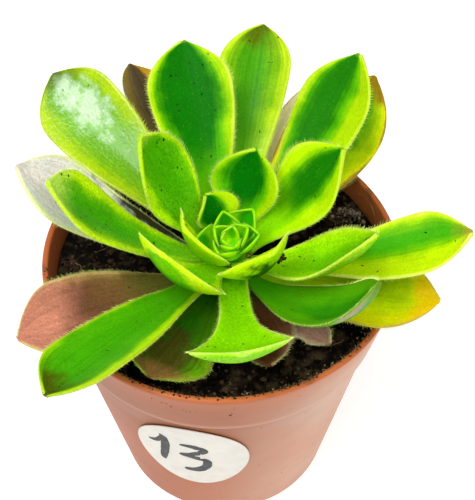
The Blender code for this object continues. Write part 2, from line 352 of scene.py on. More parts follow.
@dataclass(frozen=True)
class LeafFinish(Finish):
    """How a leaf is coloured. Widths are shares of the half width, and places shares of the length."""

    slot: str = "leaf_fresh"
    heart: Colour = (0.010, 0.20, 0.001)
    flesh: Colour = (0.085, 0.42, 0.001)
    margin: Colour = (0.38, 0.62, 0.001)
    rim: Colour = (0.50, 0.68, 0.03)
    tip: Colour = (0.16, 0.36, 0.001)
    # The default foot, paler than the flesh, is partly the base's own lime and partly painted light near the
    # stem.
    foot: Colour = (0.24, 0.70, 0.001)
    bruise: Colour = (0.05, 0.25, 0.01)
    heart_width: float = 0.45
    heart_from: float = 0.2
    heart_to: float = 1.4
    lean: float = 0.0
    margin_from: float = 0.5
    edge_from: float = 0.76
    tip_from: float = 1.0
    tip_fade: float = 0.16
    apex: float = 0.3
    tip_width: float = 1.3
    foot_to: float = 0.4
    streaks: float = 0.3
    mottle: float = 0.5
    ripple: float = 0.0
    bruise_across: float = 0.0
    bruise_along: float = 0.5
    bruise_reach: float = 0.01
    gloss: float = 0.36
    shine: float = 0.04
    coat: float = 0.0
    stipple: float = 0.3
    relief: float = 0.25

    def pattern_values(self) -> dict[str, Value]:
        """Gives the values that the leaf pattern takes.

        Returns:
            Each value by the name of its input.
        """
        own = ("name", "slot", "shine", "coat", "stipple", "relief")
        names = [entry.name for entry in fields(self) if entry.name not in own]
        return {name.replace("_", " ").title(): getattr(self, name) for name in names}

    def surface(self, place: Field) -> dict[str, Value]:
        """Lays pale dots and a few dark specks over the leaf pattern.

        Args:
            place: The object's own coordinates.

        Returns:
            What feeds each of the shader's inputs.
        """
        pattern = place.sheet.group(leaf_group(), {"Vector": place, **self.pattern_values()})
        dots = place.specks(3000, 0.3, self.stipple)
        colour = (dots * 0.13).mix(pattern, (0.50, 0.80, 0.06))
        normal = (dots * 0.3 + pattern.part("Height")).dimple(self.relief, 0.3 * MM)
        return {
            "Base Color": place.specks(380, 0.09, 0.03).mix(colour, (0.03, 0.02, 0.01)),
            "Roughness": pattern.part("Roughness"),
            "Normal": normal,
            "Coat Normal": normal,
            "Specular IOR Level": self.shine,
            "Coat Weight": self.coat,
            "Coat Roughness": 0.14,
            "Subsurface Weight": 0.1,
            "Subsurface Radius": (0.6, 1.0, 0.15),
            "Subsurface Scale": 1.2 * MM,
        }


FRESH = LeafFinish("fresh leaf")
HEARTED = replace(
    FRESH, name="dark hearted leaf", heart=(0.004, 0.15, 0.001), rim=(0.54, 0.7, 0.06), heart_width=0.7,
    lean=0.05, margin_from=0.66, shine=0.03, stipple=0.1,
)
YOUNG_LEFT = replace(
    FRESH, name="young leaf dark at its left", heart=(0.001, 0.135, 0.001), rim=(0.4, 0.64, 0.012),
    heart_width=0.62, heart_from=0.15, lean=0.1, margin_from=0.6, edge_from=0.84, stipple=0.08,
)
YOUNG_RIGHT = replace(
    YOUNG_LEFT, name="smallest leaf", heart_width=0.68, heart_from=0.05, lean=0.2, foot_to=0.2,
)
HALF_LEFT = replace(
    FRESH, name="leaf dark at its left", heart=(0.008, 0.175, 0.001), flesh=(0.14, 0.5, 0.001),
    margin=(0.44, 0.72, 0.001), foot=(0.34, 0.8, 0.001), heart_width=0.42, heart_from=0.1, lean=0.06,
    margin_from=0.42, edge_from=0.94, foot_to=0.55, stipple=0.12,
)
SIDE_LEFT = replace(
    FRESH, name="leaf dark at its left side", heart=(0.012, 0.18, 0.001), heart_width=0.46, lean=0.3,
    margin_from=0.55, stipple=0.12,
)
GRAINY = replace(
    FRESH, name="grainy leaf", heart=(0.065, 0.38, 0.001), flesh=(0.1, 0.44, 0.002),
    margin=(0.46, 0.82, 0.003), tip=(0.42, 0.66, 0.03), lean=-0.12, margin_from=0.62, tip_from=0.88,
    mottle=1.2, stipple=0.5,
)
TONGUE = replace(
    GRAINY, name="grainy outer leaf", heart=(0.05, 0.33, 0.002), flesh=(0.12, 0.44, 0.002),
    margin=(0.5, 0.78, 0.003), tip=(0.4, 0.66, 0.06), foot=(0.26, 0.68, 0.01), lean=0.0, margin_from=0.52,
    tip_from=0.82,
)
LIME = replace(
    FRESH, name="lime leaf", heart=(0.38, 0.76, 0.001), flesh=(0.42, 0.78, 0.001),
    margin=(0.54, 0.82, 0.003), rim=(0.56, 0.82, 0.012), tip=(0.58, 0.82, 0.02), foot=(0.3, 0.7, 0.001),
    apex=1.0, mottle=0.8,
)
BLOTCHED = replace(
    LIME, name="blotched lime leaf", heart=(0.03, 0.32, 0.001), flesh=(0.16, 0.55, 0.001), heart_width=0.5,
    heart_to=0.9, margin_from=0.45, mottle=1.2,
)
SCARRED = replace(
    LIME, name="scarred lime leaf", bruise=(0.02, 0.13, 0.004), bruise_across=-0.1, bruise_along=0.72,
    bruise_reach=0.6,
)
BUD = replace(
    LIME, name="bud leaf", heart=(0.03, 0.4, 0.001), flesh=(0.4, 0.84, 0.001), margin=(0.34, 0.74, 0.002),
    rim=(0.2, 0.58, 0.004), heart_width=0.52, heart_from=0.1, margin_from=0.46, foot_to=0.05, mottle=0.3,
    stipple=0.1,
)
INNER_BUD = replace(
    BUD, name="inner bud leaf", heart=(0.14, 0.62, 0.001), flesh=(0.5, 0.88, 0.002),
    margin=(0.42, 0.82, 0.003), heart_width=0.42, margin_from=0.5,
)
SOFT = replace(
    FRESH, name="soft green leaf", heart=(0.13, 0.46, 0.001), flesh=(0.26, 0.64, 0.001),
    margin=(0.44, 0.7, 0.004), rim=(0.52, 0.72, 0.07), foot=(0.44, 0.86, 0.001), margin_from=0.66,
    mottle=0.9,
)
SPOON = replace(
    SOFT, name="front leaf", heart=(0.22, 0.62, 0.001), flesh=(0.22, 0.62, 0.001),
    margin=(0.34, 0.72, 0.003), rim=(0.52, 0.8, 0.1), foot=(0.03, 0.26, 0.002), edge_from=0.8, apex=0.6,
    foot_to=0.16,
)
# Its pale bruise is a painted reflection: the window's glare painted as a whitish patch towards the tip.
GLOSSY = replace(
    FRESH, name="glossy leaf", heart=(0.13, 0.38, 0.001), flesh=(0.17, 0.42, 0.001),
    margin=(0.36, 0.56, 0.001), rim=(0.48, 0.58, 0.02), tip=(0.07, 0.13, 0.001), bruise=(0.5, 0.7, 0.42),
    tip_from=0.86, streaks=0.4, mottle=0.8, ripple=1.6, bruise_across=-0.16, bruise_along=0.85,
    bruise_reach=0.56, gloss=0.32, shine=0.3, coat=0.4, stipple=0.0, relief=0.45,
)
STREAKED = replace(
    FRESH, name="streaked leaf", heart=(0.055, 0.3, 0.001), flesh=(0.18, 0.44, 0.001),
    margin=(0.44, 0.64, 0.006), tip=(0.08, 0.13, 0.001), lean=0.08, margin_from=0.62, tip_from=0.84,
    tip_width=0.7, streaks=0.9, gloss=0.3, shine=0.2,
)
TIPPED = replace(
    FRESH, name="dark tipped leaf", heart=(0.045, 0.31, 0.001), flesh=(0.06, 0.33, 0.001),
    margin=(0.38, 0.66, 0.001), rim=(0.36, 0.5, 0.01), tip=(0.05, 0.075, 0.001), foot=(0.05, 0.22, 0.001),
    lean=-0.08, margin_from=0.7, edge_from=0.86, tip_from=0.82, apex=0.0, tip_width=0.75, streaks=0.5,
)
BROAD = replace(
    FRESH, name="broad green leaf", heart=(0.05, 0.36, 0.001), flesh=(0.18, 0.48, 0.001),
    margin=(0.52, 0.76, 0.001), rim=(0.7, 0.78, 0.1), tip=(0.3, 0.24, 0.02), foot=(0.38, 0.7, 0.001),
    heart_width=0.36, lean=0.3, margin_from=0.4, tip_from=0.92,
)
SHADE = replace(
    FRESH, name="shaded leaf", heart=(0.028, 0.25, 0.002), flesh=(0.09, 0.38, 0.002),
    margin=(0.1, 0.34, 0.002), rim=(0.1, 0.3, 0.006), tip=(0.12, 0.2, 0.01), foot=(0.06, 0.42, 0.002),
    bruise=(0.36, 0.3, 0.17), margin_from=0.62, tip_from=0.9, bruise_across=-1.05, bruise_along=0.84,
    bruise_reach=0.5,
)
SILVER = replace(
    FRESH, name="silvered leaf", heart=(0.74, 0.67, 0.62), flesh=(0.78, 0.74, 0.68),
    margin=(0.68, 0.76, 0.3), rim=(0.82, 0.82, 0.4), tip=(0.16, 0.11, 0.07), foot=(0.1, 0.34, 0.01),
    bruise=(0.035, 0.028, 0.012), margin_from=0.8, edge_from=0.8, tip_from=0.94, apex=0.0, foot_to=0.62,
    streaks=0.6, mottle=0.7, bruise_across=-0.9, bruise_along=0.3, bruise_reach=0.62, gloss=0.4, shine=0.3,
    stipple=0.05, relief=0.8,
)
YELLOWING = replace(
    FRESH, name="yellowing leaf", slot="leaf_yellow", heart=(0.07, 0.3, 0.001), flesh=(0.42, 0.62, 0.002),
    margin=(0.8, 0.82, 0.002), rim=(0.34, 0.2, 0.02), tip=(0.22, 0.14, 0.004), heart_width=0.55, lean=-0.05,
    margin_from=0.66, tip_from=0.84,
)
# Its bright lime foot is partly its own lime and partly painted light, where another leaf shades its base.
AUTUMN = replace(
    YELLOWING, name="autumn leaf", heart=(0.22, 0.36, 0.001), flesh=(0.44, 0.58, 0.001),
    margin=(0.66, 0.66, 0.001), rim=(0.54, 0.36, 0.05), tip=(0.66, 0.44, 0.002), foot=(0.55, 0.95, 0.001),
    heart_to=0.9, lean=0.25, tip_from=0.8, foot_to=0.6,
)
BRONZE = replace(
    FRESH, name="bronzed leaf", slot="leaf_bronze", heart=(0.075, 0.05, 0.022), flesh=(0.12, 0.085, 0.035),
    margin=(0.18, 0.12, 0.02), rim=(0.2, 0.14, 0.05), tip=(0.14, 0.09, 0.03), foot=(0.2, 0.4, 0.01),
    bruise=(0.46, 0.24, 0.01), foot_to=0.55, streaks=0.9, mottle=0.9, bruise_across=-0.7, bruise_along=0.88,
    bruise_reach=0.55, stipple=0.05,
)
PINK = replace(
    FRESH, name="pink ageing leaf", slot="leaf_old", heart=(0.1, 0.035, 0.017), flesh=(0.2, 0.1, 0.03),
    margin=(0.34, 0.22, 0.06), rim=(0.5, 0.36, 0.14), tip=(0.5, 0.19, 0.12), foot=(0.07, 0.13, 0.008),
    heart_width=0.8, heart_from=0.36, margin_from=0.8, tip_from=0.56, tip_fade=0.34, foot_to=0.6,
    streaks=0.7, mottle=1.0, shine=0.2, stipple=0.0, relief=0.5,
)
BLUSH = replace(
    PINK, name="blushing leaf", heart=(0.96, 0.76, 0.46), flesh=(0.96, 0.78, 0.48),
    margin=(0.96, 0.8, 0.44), rim=(0.8, 0.56, 0.3), tip=(0.8, 0.5, 0.3), foot=(0.66, 0.58, 0.01),
    tip_from=0.96, foot_to=0.62, streaks=0.2, mottle=0.4,
)
UMBER = replace(
    BRONZE, name="umber leaf", heart=(0.055, 0.02, 0.006), flesh=(0.075, 0.03, 0.01),
    margin=(0.12, 0.055, 0.025), rim=(0.3, 0.2, 0.12), tip=(0.13, 0.048, 0.012), foot=(0.06, 0.12, 0.01),
    tip_from=0.9, streaks=0.6, bruise_reach=0.01,
)
OLIVE = replace(
    BRONZE, name="olive leaf", heart=(0.02, 0.16, 0.002), flesh=(0.05, 0.16, 0.003),
    margin=(0.1, 0.27, 0.002), rim=(0.2, 0.3, 0.015), tip=(0.22, 0.11, 0.03), foot=(0.01, 0.14, 0.001),
    bruise=(0.075, 0.07, 0.008), edge_from=0.84, tip_from=0.84, bruise_across=0.05, bruise_along=0.84,
    bruise_reach=0.8,
)
WITHERED = replace(
    PINK, name="withered leaf", heart=(0.42, 0.22, 0.17), flesh=(0.5, 0.28, 0.2), margin=(0.4, 0.3, 0.2),
    rim=(0.5, 0.4, 0.26), tip=(0.44, 0.26, 0.13), foot=(0.1, 0.1, 0.04), tip_from=0.85, streaks=1.0,
    relief=0.9,
)


@dataclass(frozen=True)
class GroundFinish(Finish):
    """How loose ground is coloured, from dark to light by each piece's own tone."""

    dark: Colour
    light: Colour
    roughness: float = 0.9

    def surface(self, place: Field) -> dict[str, Value]:
        """Mottles each piece's tone and dusts it with pale specks.

        Args:
            place: The object's own coordinates.

        Returns:
            What feeds each of the shader's inputs.
        """
        tone = place.sheet.attribute("tone") + (place.clouds(700, 5) - 0.5) * 1.5
        colour = tone.rises(0.1, 1.0).mix(self.dark, self.light)
        dust = place.specks(1700, 0.3, 0.015) * 0.35
        return {
            "Base Color": dust.mix(colour, (0.30, 0.25, 0.18)),
            "Roughness": self.roughness,
            "Specular IOR Level": 0.12,
            "Normal": place.clouds(2200, 3).dimple(0.6, 0.3 * MM),
        }


@dataclass(frozen=True)
class PotFinish(Finish):
    """Moulded plastic: clean and orange where it was rubbed, under a dull pink film elsewhere."""

    name: str = "pot plastic"
    clean: Colour = (0.48, 0.125, 0.036)
    film: Colour = (0.29, 0.092, 0.032)
    # The dusty colour is painted light: the film is painted paler towards the right and lower side.
    dusty: Colour = (0.60, 0.40, 0.29)
    # The inside colour is painted shade: the clean orange at half its brightness.
    inside: Colour = (0.24, 0.062, 0.018)
    # The worn colour is a painted highlight just above the crease under the band.
    worn: Colour = (0.66, 0.42, 0.31)
    shadow: Colour = (0.12, 0.035, 0.014)
    grime: Colour = (0.16, 0.065, 0.03)
    dirt: Colour = (0.06, 0.03, 0.02)
    crease: float = 59.5 * MM

    def surface(self, place: Field) -> dict[str, Value]:
        """Lays the film, painted paler to the right as painted light, a painted highlight and a painted
        shadow at the crease under the band, the inside painted darker as painted shade, and the dirt over the
        plastic.

        Args:
            place: The object's own coordinates.

        Returns:
            What feeds each of the shader's inputs.
        """
        sheet = place.sheet
        x = sheet.node("ShaderNodeSeparateXYZ", {0: place})
        z = x.part(2)
        outside = sheet.attribute("outside")
        cloud = place.clouds(45, 4)
        bare = z.falls(20 * MM, 58 * MM) * 0.3 + z.rises(66 * MM, 75 * MM) * 0.4
        thick = ((cloud - 0.5) * 0.9 + 0.88 - bare) * outside
        # side grows towards the right and lower side, where the film is painted paler as painted light.
        side = (x + z * -0.25).rises(-18 * MM, 22 * MM)
        colour = thick.mix(self.clean, side.mix(self.film, self.dusty))
        # A painted highlight just above the crease under the band, and a painted shadow just below it.
        drop = z - self.crease
        above = drop.rises(-0.6 * MM, 0.6 * MM) * drop.falls(0.6 * MM, 3 * MM)
        below = drop.rises(-3 * MM, -0.8 * MM) * drop.falls(-0.8 * MM, 0.2 * MM)
        colour = (above * 0.26).mix(colour, self.worn)
        colour = (below * 0.25).mix(colour, self.shadow)
        # The pot's inside is painted darker, as painted shade.
        colour = sheet.attribute("inside").mix(colour, self.inside)
        smudged = place.clouds(260, 5).rises(0.52, 0.70) * (outside * -0.6 + 0.68)
        colour = smudged.mix(colour, self.grime)
        return {
            "Base Color": (place.specks(330, 0.11, 0.09) * 0.7).mix(colour, self.dirt),
            "Roughness": outside * 0.16 + (cloud * 0.1 + 0.3),
            "Specular IOR Level": 0.3,
            "Normal": (place.clouds(1300, 2) * 0.4 + cloud).dimple(0.12, 0.3 * MM),
        }


@dataclass(frozen=True)
class PaperFinish(Finish):
    """A matt paper or ink surface with faint clouding."""

    pale: Colour
    dark: Colour
    roughness: float = 0.5
    cloud: float = 260.0

    def surface(self, place: Field) -> dict[str, Value]:
        """Clouds the surface.

        Args:
            place: The object's own coordinates.

        Returns:
            What feeds each of the shader's inputs.
        """
        patch = place.clouds(self.cloud, 4)
        return {
            "Base Color": patch.rises(0.35, 0.75).mix(self.pale, self.dark),
            "Roughness": patch * 0.15 + self.roughness,
            "Specular IOR Level": 0.2,
            "Normal": place.clouds(1800, 2).dimple(0.08, 0.2 * MM),
        }


@dataclass(frozen=True)
class StemFinish(Finish):
    """A succulent stem, green above and brown below, with brown flecks."""

    name: str = "stem skin"
    young: Colour = (0.16, 0.46, 0.012)
    old: Colour = (0.13, 0.10, 0.04)

    def surface(self, place: Field) -> dict[str, Value]:
        """Goes from the old skin to the young with the height.

        Args:
            place: The object's own coordinates.

        Returns:
            What feeds each of the shader's inputs.
        """
        height = place.sheet.node("ShaderNodeSeparateXYZ", {0: place}, 2)
        youth = (height + (place.clouds(350, 4) - 0.5) * (8 * MM)).rises(71 * MM, 79 * MM)
        flecks = place.specks(700, 0.25, 0.35) * 0.5
        return {
            "Base Color": flecks.mix(youth.mix(self.old, self.young), self.old),
            "Roughness": 0.5,
            "Normal": place.clouds(900, 3).dimple(0.5, 0.3 * MM),
        }


@dataclass(frozen=True)
class HairFinish(Finish):
    """Pale hairs, some greener than others."""

    name: str = "margin hair"
    pale: Colour = (0.80, 0.86, 0.26)
    green: Colour = (0.60, 0.78, 0.12)

    def surface(self, place: Field) -> dict[str, Value]:
        """Drifts between the two colours."""
        tint = place.clouds(300, 2).rises(0.3, 0.7).mix(self.pale, self.green)
        return {"Base Color": tint, "Roughness": 0.45}


@dataclass(frozen=True)
class FloorFinish(Finish):
    """The studio's plain pale floor, which glows a little so that it stays white."""

    name: str = "studio floor"
    glow: float = 0.35

    def surface(self, place: Field) -> dict[str, Value]:
        """Gives plain values."""
        plain = {"Base Color": (0.92, 0.92, 0.92), "Roughness": 0.8, "Emission Color": (1, 1, 1)}
        return {**plain, "Emission Strength": self.glow}


SOIL = GroundFinish("potting soil", (0.003, 0.002, 0.0014), (0.06, 0.036, 0.018))
DRY = GroundFinish("dry soil", (0.03, 0.021, 0.014), (0.22, 0.17, 0.12))
GRIT = GroundFinish("pale grit", (0.02, 0.014, 0.009), (0.36, 0.28, 0.19))
CRUMB = GroundFinish("dark crumb", (0.010, 0.007, 0.004), (0.06, 0.035, 0.018))
DEBRIS = GroundFinish("leaf debris", (0.014, 0.009, 0.005), (0.11, 0.06, 0.03))
FIBRE = GroundFinish("root fibre", (0.10, 0.06, 0.03), (0.36, 0.24, 0.12), 0.7)
STICKER = PaperFinish("sticker paper", (0.70, 0.67, 0.60), (0.64, 0.61, 0.55), 0.42)
INK = PaperFinish("marker ink", (0.018, 0.02, 0.022), (0.07, 0.075, 0.075), 0.45, 700.0)
HAIR = HairFinish()


def added(operator: Callable[..., set[str]], **settings: object) -> bpy.types.Object:
    """Adds an object with nothing else selected.

    Args:
        operator: Blender's operator that adds it.
        **settings: Its size, place and the like.

    Returns:
        The new object.
    """
    bpy.ops.object.select_all(action="DESELECT")
    operator(**settings)
    return bpy.context.object


def alone(piece: bpy.types.Object) -> None:
    """Selects one piece only and makes it active.

    Args:
        piece: The piece.
    """
    bpy.ops.object.select_all(action="DESELECT")
    piece.select_set(True)
    bpy.context.view_layer.objects.active = piece


def modified(piece: bpy.types.Object, kind: str, **settings: object) -> None:
    """Adds a modifier to a piece.

    Args:
        piece: The piece.
        kind: The modifier's type.
        **settings: Its properties.
    """
    modifier = piece.modifiers.new(kind.lower(), kind)
    for name, value in settings.items():
        setattr(modifier, name, value)


def applied(piece: bpy.types.Object) -> bpy.types.Object:
    """Applies a piece's modifiers, in order.

    Args:
        piece: The piece.

    Returns:
        The piece.
    """
    alone(piece)
    for modifier in list(piece.modifiers):
        bpy.ops.object.modifier_apply(modifier=modifier.name)
    return piece


def smoothed(piece: bpy.types.Object, angle: float = 180) -> bpy.types.Object:
    """Shades a piece smooth, but for edges sharper than an angle.

    Args:
        piece: The piece.
        angle: The angle.

    Returns:
        The piece.
    """
    alone(piece)
    bpy.ops.object.shade_smooth_by_angle(angle=math.radians(angle))
    return piece


def joined(name: str, pieces: Sequence[bpy.types.Object]) -> bpy.types.Object:
    """Joins pieces into one.

    Args:
        name: The new name.
        pieces: Two pieces or more.

    Returns:
        The joined piece.
    """
    alone(pieces[0])
    for piece in pieces:
        piece.select_set(True)
    bpy.ops.object.join()
    pieces[0].name = name
    return pieces[0]


def marked(piece: bpy.types.Object, name: str, values: Sequence[float]) -> None:
    """Writes a number at each point of a mesh, for its material."""
    piece.data.attributes.new(name, "FLOAT", "POINT").data.foreach_set("value", values)


def laid_grid(
    name: str, columns: int, rows: int, place: Callable[[float, float], Vector]
) -> bpy.types.Object:
    """Adds a grid and lays each of its points by a rule.

    Args:
        name: The piece's name.
        columns: Faces across.
        rows: Faces along.
        place: Gives a point from its shares across and along.

    Returns:
        The laid grid, with its UV map as added.
    """
    piece = added(bpy.ops.mesh.primitive_grid_add, x_subdivisions=columns, y_subdivisions=rows, size=2)
    piece.name = name
    for vertex in piece.data.vertices:
        vertex.co = place((vertex.co.x + 1) / 2, (vertex.co.y + 1) / 2)
    return piece


def spun(name: str, profile: Sequence[tuple[float, float]], steps: int) -> bpy.types.Object:
    """Spins a profile round Z into a closed form.

    Args:
        name: The piece's name.
        profile: Radius and height of each point, starting and ending on the axis.
        steps: Faces in a full turn.

    Returns:
        The spun piece, with its normals outwards.
    """
    piece = added(bpy.ops.mesh.primitive_plane_add, size=1)
    piece.name = name
    bpy.ops.object.mode_set(mode="EDIT")
    bpy.ops.mesh.select_all(action="SELECT")
    bpy.ops.mesh.merge(type="CENTER")
    radius, height = profile[0]
    bpy.ops.transform.translate(value=(radius, 0, height))
    for (r0, h0), (r1, h1) in zip(profile, profile[1:]):
        bpy.ops.mesh.extrude_vertices_move(TRANSFORM_OT_translate={"value": (r1 - r0, 0, h1 - h0)})
    bpy.ops.mesh.select_all(action="SELECT")
    bpy.ops.mesh.spin(steps=steps, angle=math.tau, center=(0, 0, 0), axis=(0, 0, 1), use_auto_merge=False)
    bpy.ops.mesh.select_all(action="SELECT")
    bpy.ops.mesh.remove_doubles(threshold=0.005 * MM)
    bpy.ops.mesh.normals_make_consistent(inside=False)
    bpy.ops.object.mode_set(mode="OBJECT")
    return piece


def polar(reach: float, angle: float, height: float = 0.0) -> Vector:
    """Gives the point at a distance from Z, in a direction in radians, at a height."""
    return Vector((reach * math.cos(angle), reach * math.sin(angle), height))


def leaning(luck: random.Random, lean: float) -> Vector:
    """Draws a direction that leans a little from upright."""
    return Vector((luck.uniform(-lean, lean), luck.uniform(-lean, lean), 1))


def stood(
    place: Vector, direction: Vector, length: float, girth: float, luck: random.Random, turn: float = 360
) -> Matrix:
    """Gives the matrix that stands a unit shape at a place.

    Args:
        place: Where its foot goes.
        direction: Where its Z axis points.
        length: Its size along Z.
        girth: Its size across.
        luck: Draws its turn about Z.
        turn: The most that it is turned.

    Returns:
        The matrix.
    """
    aim = direction.to_track_quat("Z", "Y").to_matrix().to_4x4()
    spin = Matrix.Rotation(math.radians(luck.uniform(0, turn)), 4, "Z")
    return Matrix.Translation(place) @ aim @ spin @ Matrix.Diagonal((girth, girth, length, 1))


def copies(
    name: str, shape: bpy.types.Object, places: Iterable[Matrix], luck: random.Random
) -> bpy.types.Object:
    """Copies a small shape to many places in one mesh and removes the shape.

    Args:
        name: The new piece's name.
        shape: The small shape, with its place applied.
        places: A matrix for each copy.
        luck: Draws each copy's tone, from 0 to 1.

    Returns:
        The piece, with the tones in its attribute named tone.
    """
    corners = [vertex.co.copy() for vertex in shape.data.vertices]
    sides = [tuple(face.vertices) for face in shape.data.polygons]
    points: list[Vector] = []
    faces: list[tuple[int, ...]] = []
    tones: list[float] = []
    for place in places:
        faces += [tuple(len(points) + index for index in side) for side in sides]
        points += [place @ corner for corner in corners]
        tones += [luck.random()] * len(corners)
    bpy.data.objects.remove(shape)
    mesh = bpy.data.meshes.new(name)
    mesh.from_pydata(points, [], faces)
    piece = bpy.data.objects.new(name, mesh)
    marked(piece, "tone", tones)
    bpy.context.scene.collection.objects.link(piece)
    return piece


def rough_lump(grain: Grain, luck: random.Random) -> bpy.types.Object:
    """Models one unit-sized lump with an uneven surface, flatter than it is wide.

    Args:
        grain: How finely it is modelled.
        luck: Draws its dents.

    Returns:
        The lump, round the origin.
    """
    lump = added(bpy.ops.mesh.primitive_ico_sphere_add, subdivisions=grain.value, radius=1)
    stretch = Vector((1, luck.uniform(0.6, 0.9), 0.75))
    for vertex in lump.data.vertices:
        dent = luck.uniform(0.55, 1.15)
        vertex.co = Vector(a * b for a, b in zip(vertex.co * dent, stretch))
    return lump


def hair_shape() -> bpy.types.Object:
    """Models one unit hair.

    Returns:
        The hair, standing on the origin.
    """
    cone = bpy.ops.mesh.primitive_cone_add
    hair = added(cone, vertices=3, radius1=1, radius2=0, depth=1, location=(0, 0, 0.5))
    bpy.ops.object.transform_apply(location=True, rotation=False, scale=False)
    return hair


def dressed(piece: bpy.types.Object, finish: Finish) -> None:
    """Gives a piece its material and its place on the frame.

    Args:
        piece: The finished piece.
        finish: Its only finish.
    """
    piece.data.materials.clear()
    piece.data.materials.append(finish.material())
    piece.data.name = piece.name
    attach(piece, "root")
    LOG.info("%s: %d faces", piece.name, len(piece.data.polygons))


def strewn(name: str, finish: GroundFinish, places: Sequence[Matrix], luck: random.Random) -> None:
    """Models a crumb and leaves it at many places.

    Args:
        name: The piece's name.
        finish: What the crumbs are made of.
        places: A matrix for each crumb.
        luck: Draws the crumb's dents and each one's tone.
    """
    dressed(copies(name, rough_lump(Grain.CRUMB, luck), places, luck), finish)


@dataclass(frozen=True)
class Leaf:
    """One leaf, as in the frame. Length and width are in millimetres.

    turn is its compass direction, rise and tip are its slopes at root and tip, sweep bends it sideways, roll
    turns its face about its length, widest is where it is broadest, as a share of its length, cup lifts its
    margins, late holds the bend back, neck is the root's share of the width, flare keeps the blade narrow
    for longer, and frayed wears its margins uneven.
    """

    turn: float
    rise: float
    tip: float
    sweep: float
    roll: float
    length: float
    width: float
    widest: float
    finish: LeafFinish = FRESH
    cup: float = 15
    late: float = 1.3
    neck: float = 0.22
    flare: float = 1.8
    frayed: float = 0.0

    def breadth(self, share: float) -> float:
        """Gives the width at a place.

        Args:
            share: The place, as a share of the length.

        Returns:
            The width, as a share of the full width.
        """
        if share < self.widest:
            return self.neck + (1 - self.neck) * math.sin(math.pi / 2 * share / self.widest) ** self.flare
        fall = (share - self.widest) / (1 - self.widest)
        return max(max(1 - fall**2.1, 0) ** 0.9, 0.03)

    def frames(self, root: Vector, rows: int) -> list[Frame]:
        """Follows the leaf's length.

        Args:
            root: Where it starts.
            rows: How many steps to give.

        Returns:
            A frame at each step, closer together near the tip.
        """
        fine = 4
        middle = root.copy()
        frames: list[Frame] = []
        before: Vector | None = None
        reached = 0.0
        for step in range(rows * fine + 1):
            share = 1 - (1 - step / (rows * fine)) ** 1.4
            slope = math.radians(self.rise + (self.tip - self.rise) * share**self.late)
            turn = math.radians(self.turn + self.sweep * share**1.5)
            roll = math.radians(self.roll) * share**0.7
            along = polar(math.cos(slope), turn, math.sin(slope))
            level = polar(1, turn + math.pi / 2)
            over = along.cross(level)
            side = level * math.cos(roll) + over * math.sin(roll)
            face = over * math.cos(roll) - level * math.sin(roll)
            if before is not None:
                middle = middle + (before + along) / 2 * (share - reached) * self.length * MM
            before = along
            reached = share
            if step % fine == 0:
                frames.append(Frame(share, middle.copy(), side, face, along))
        return frames


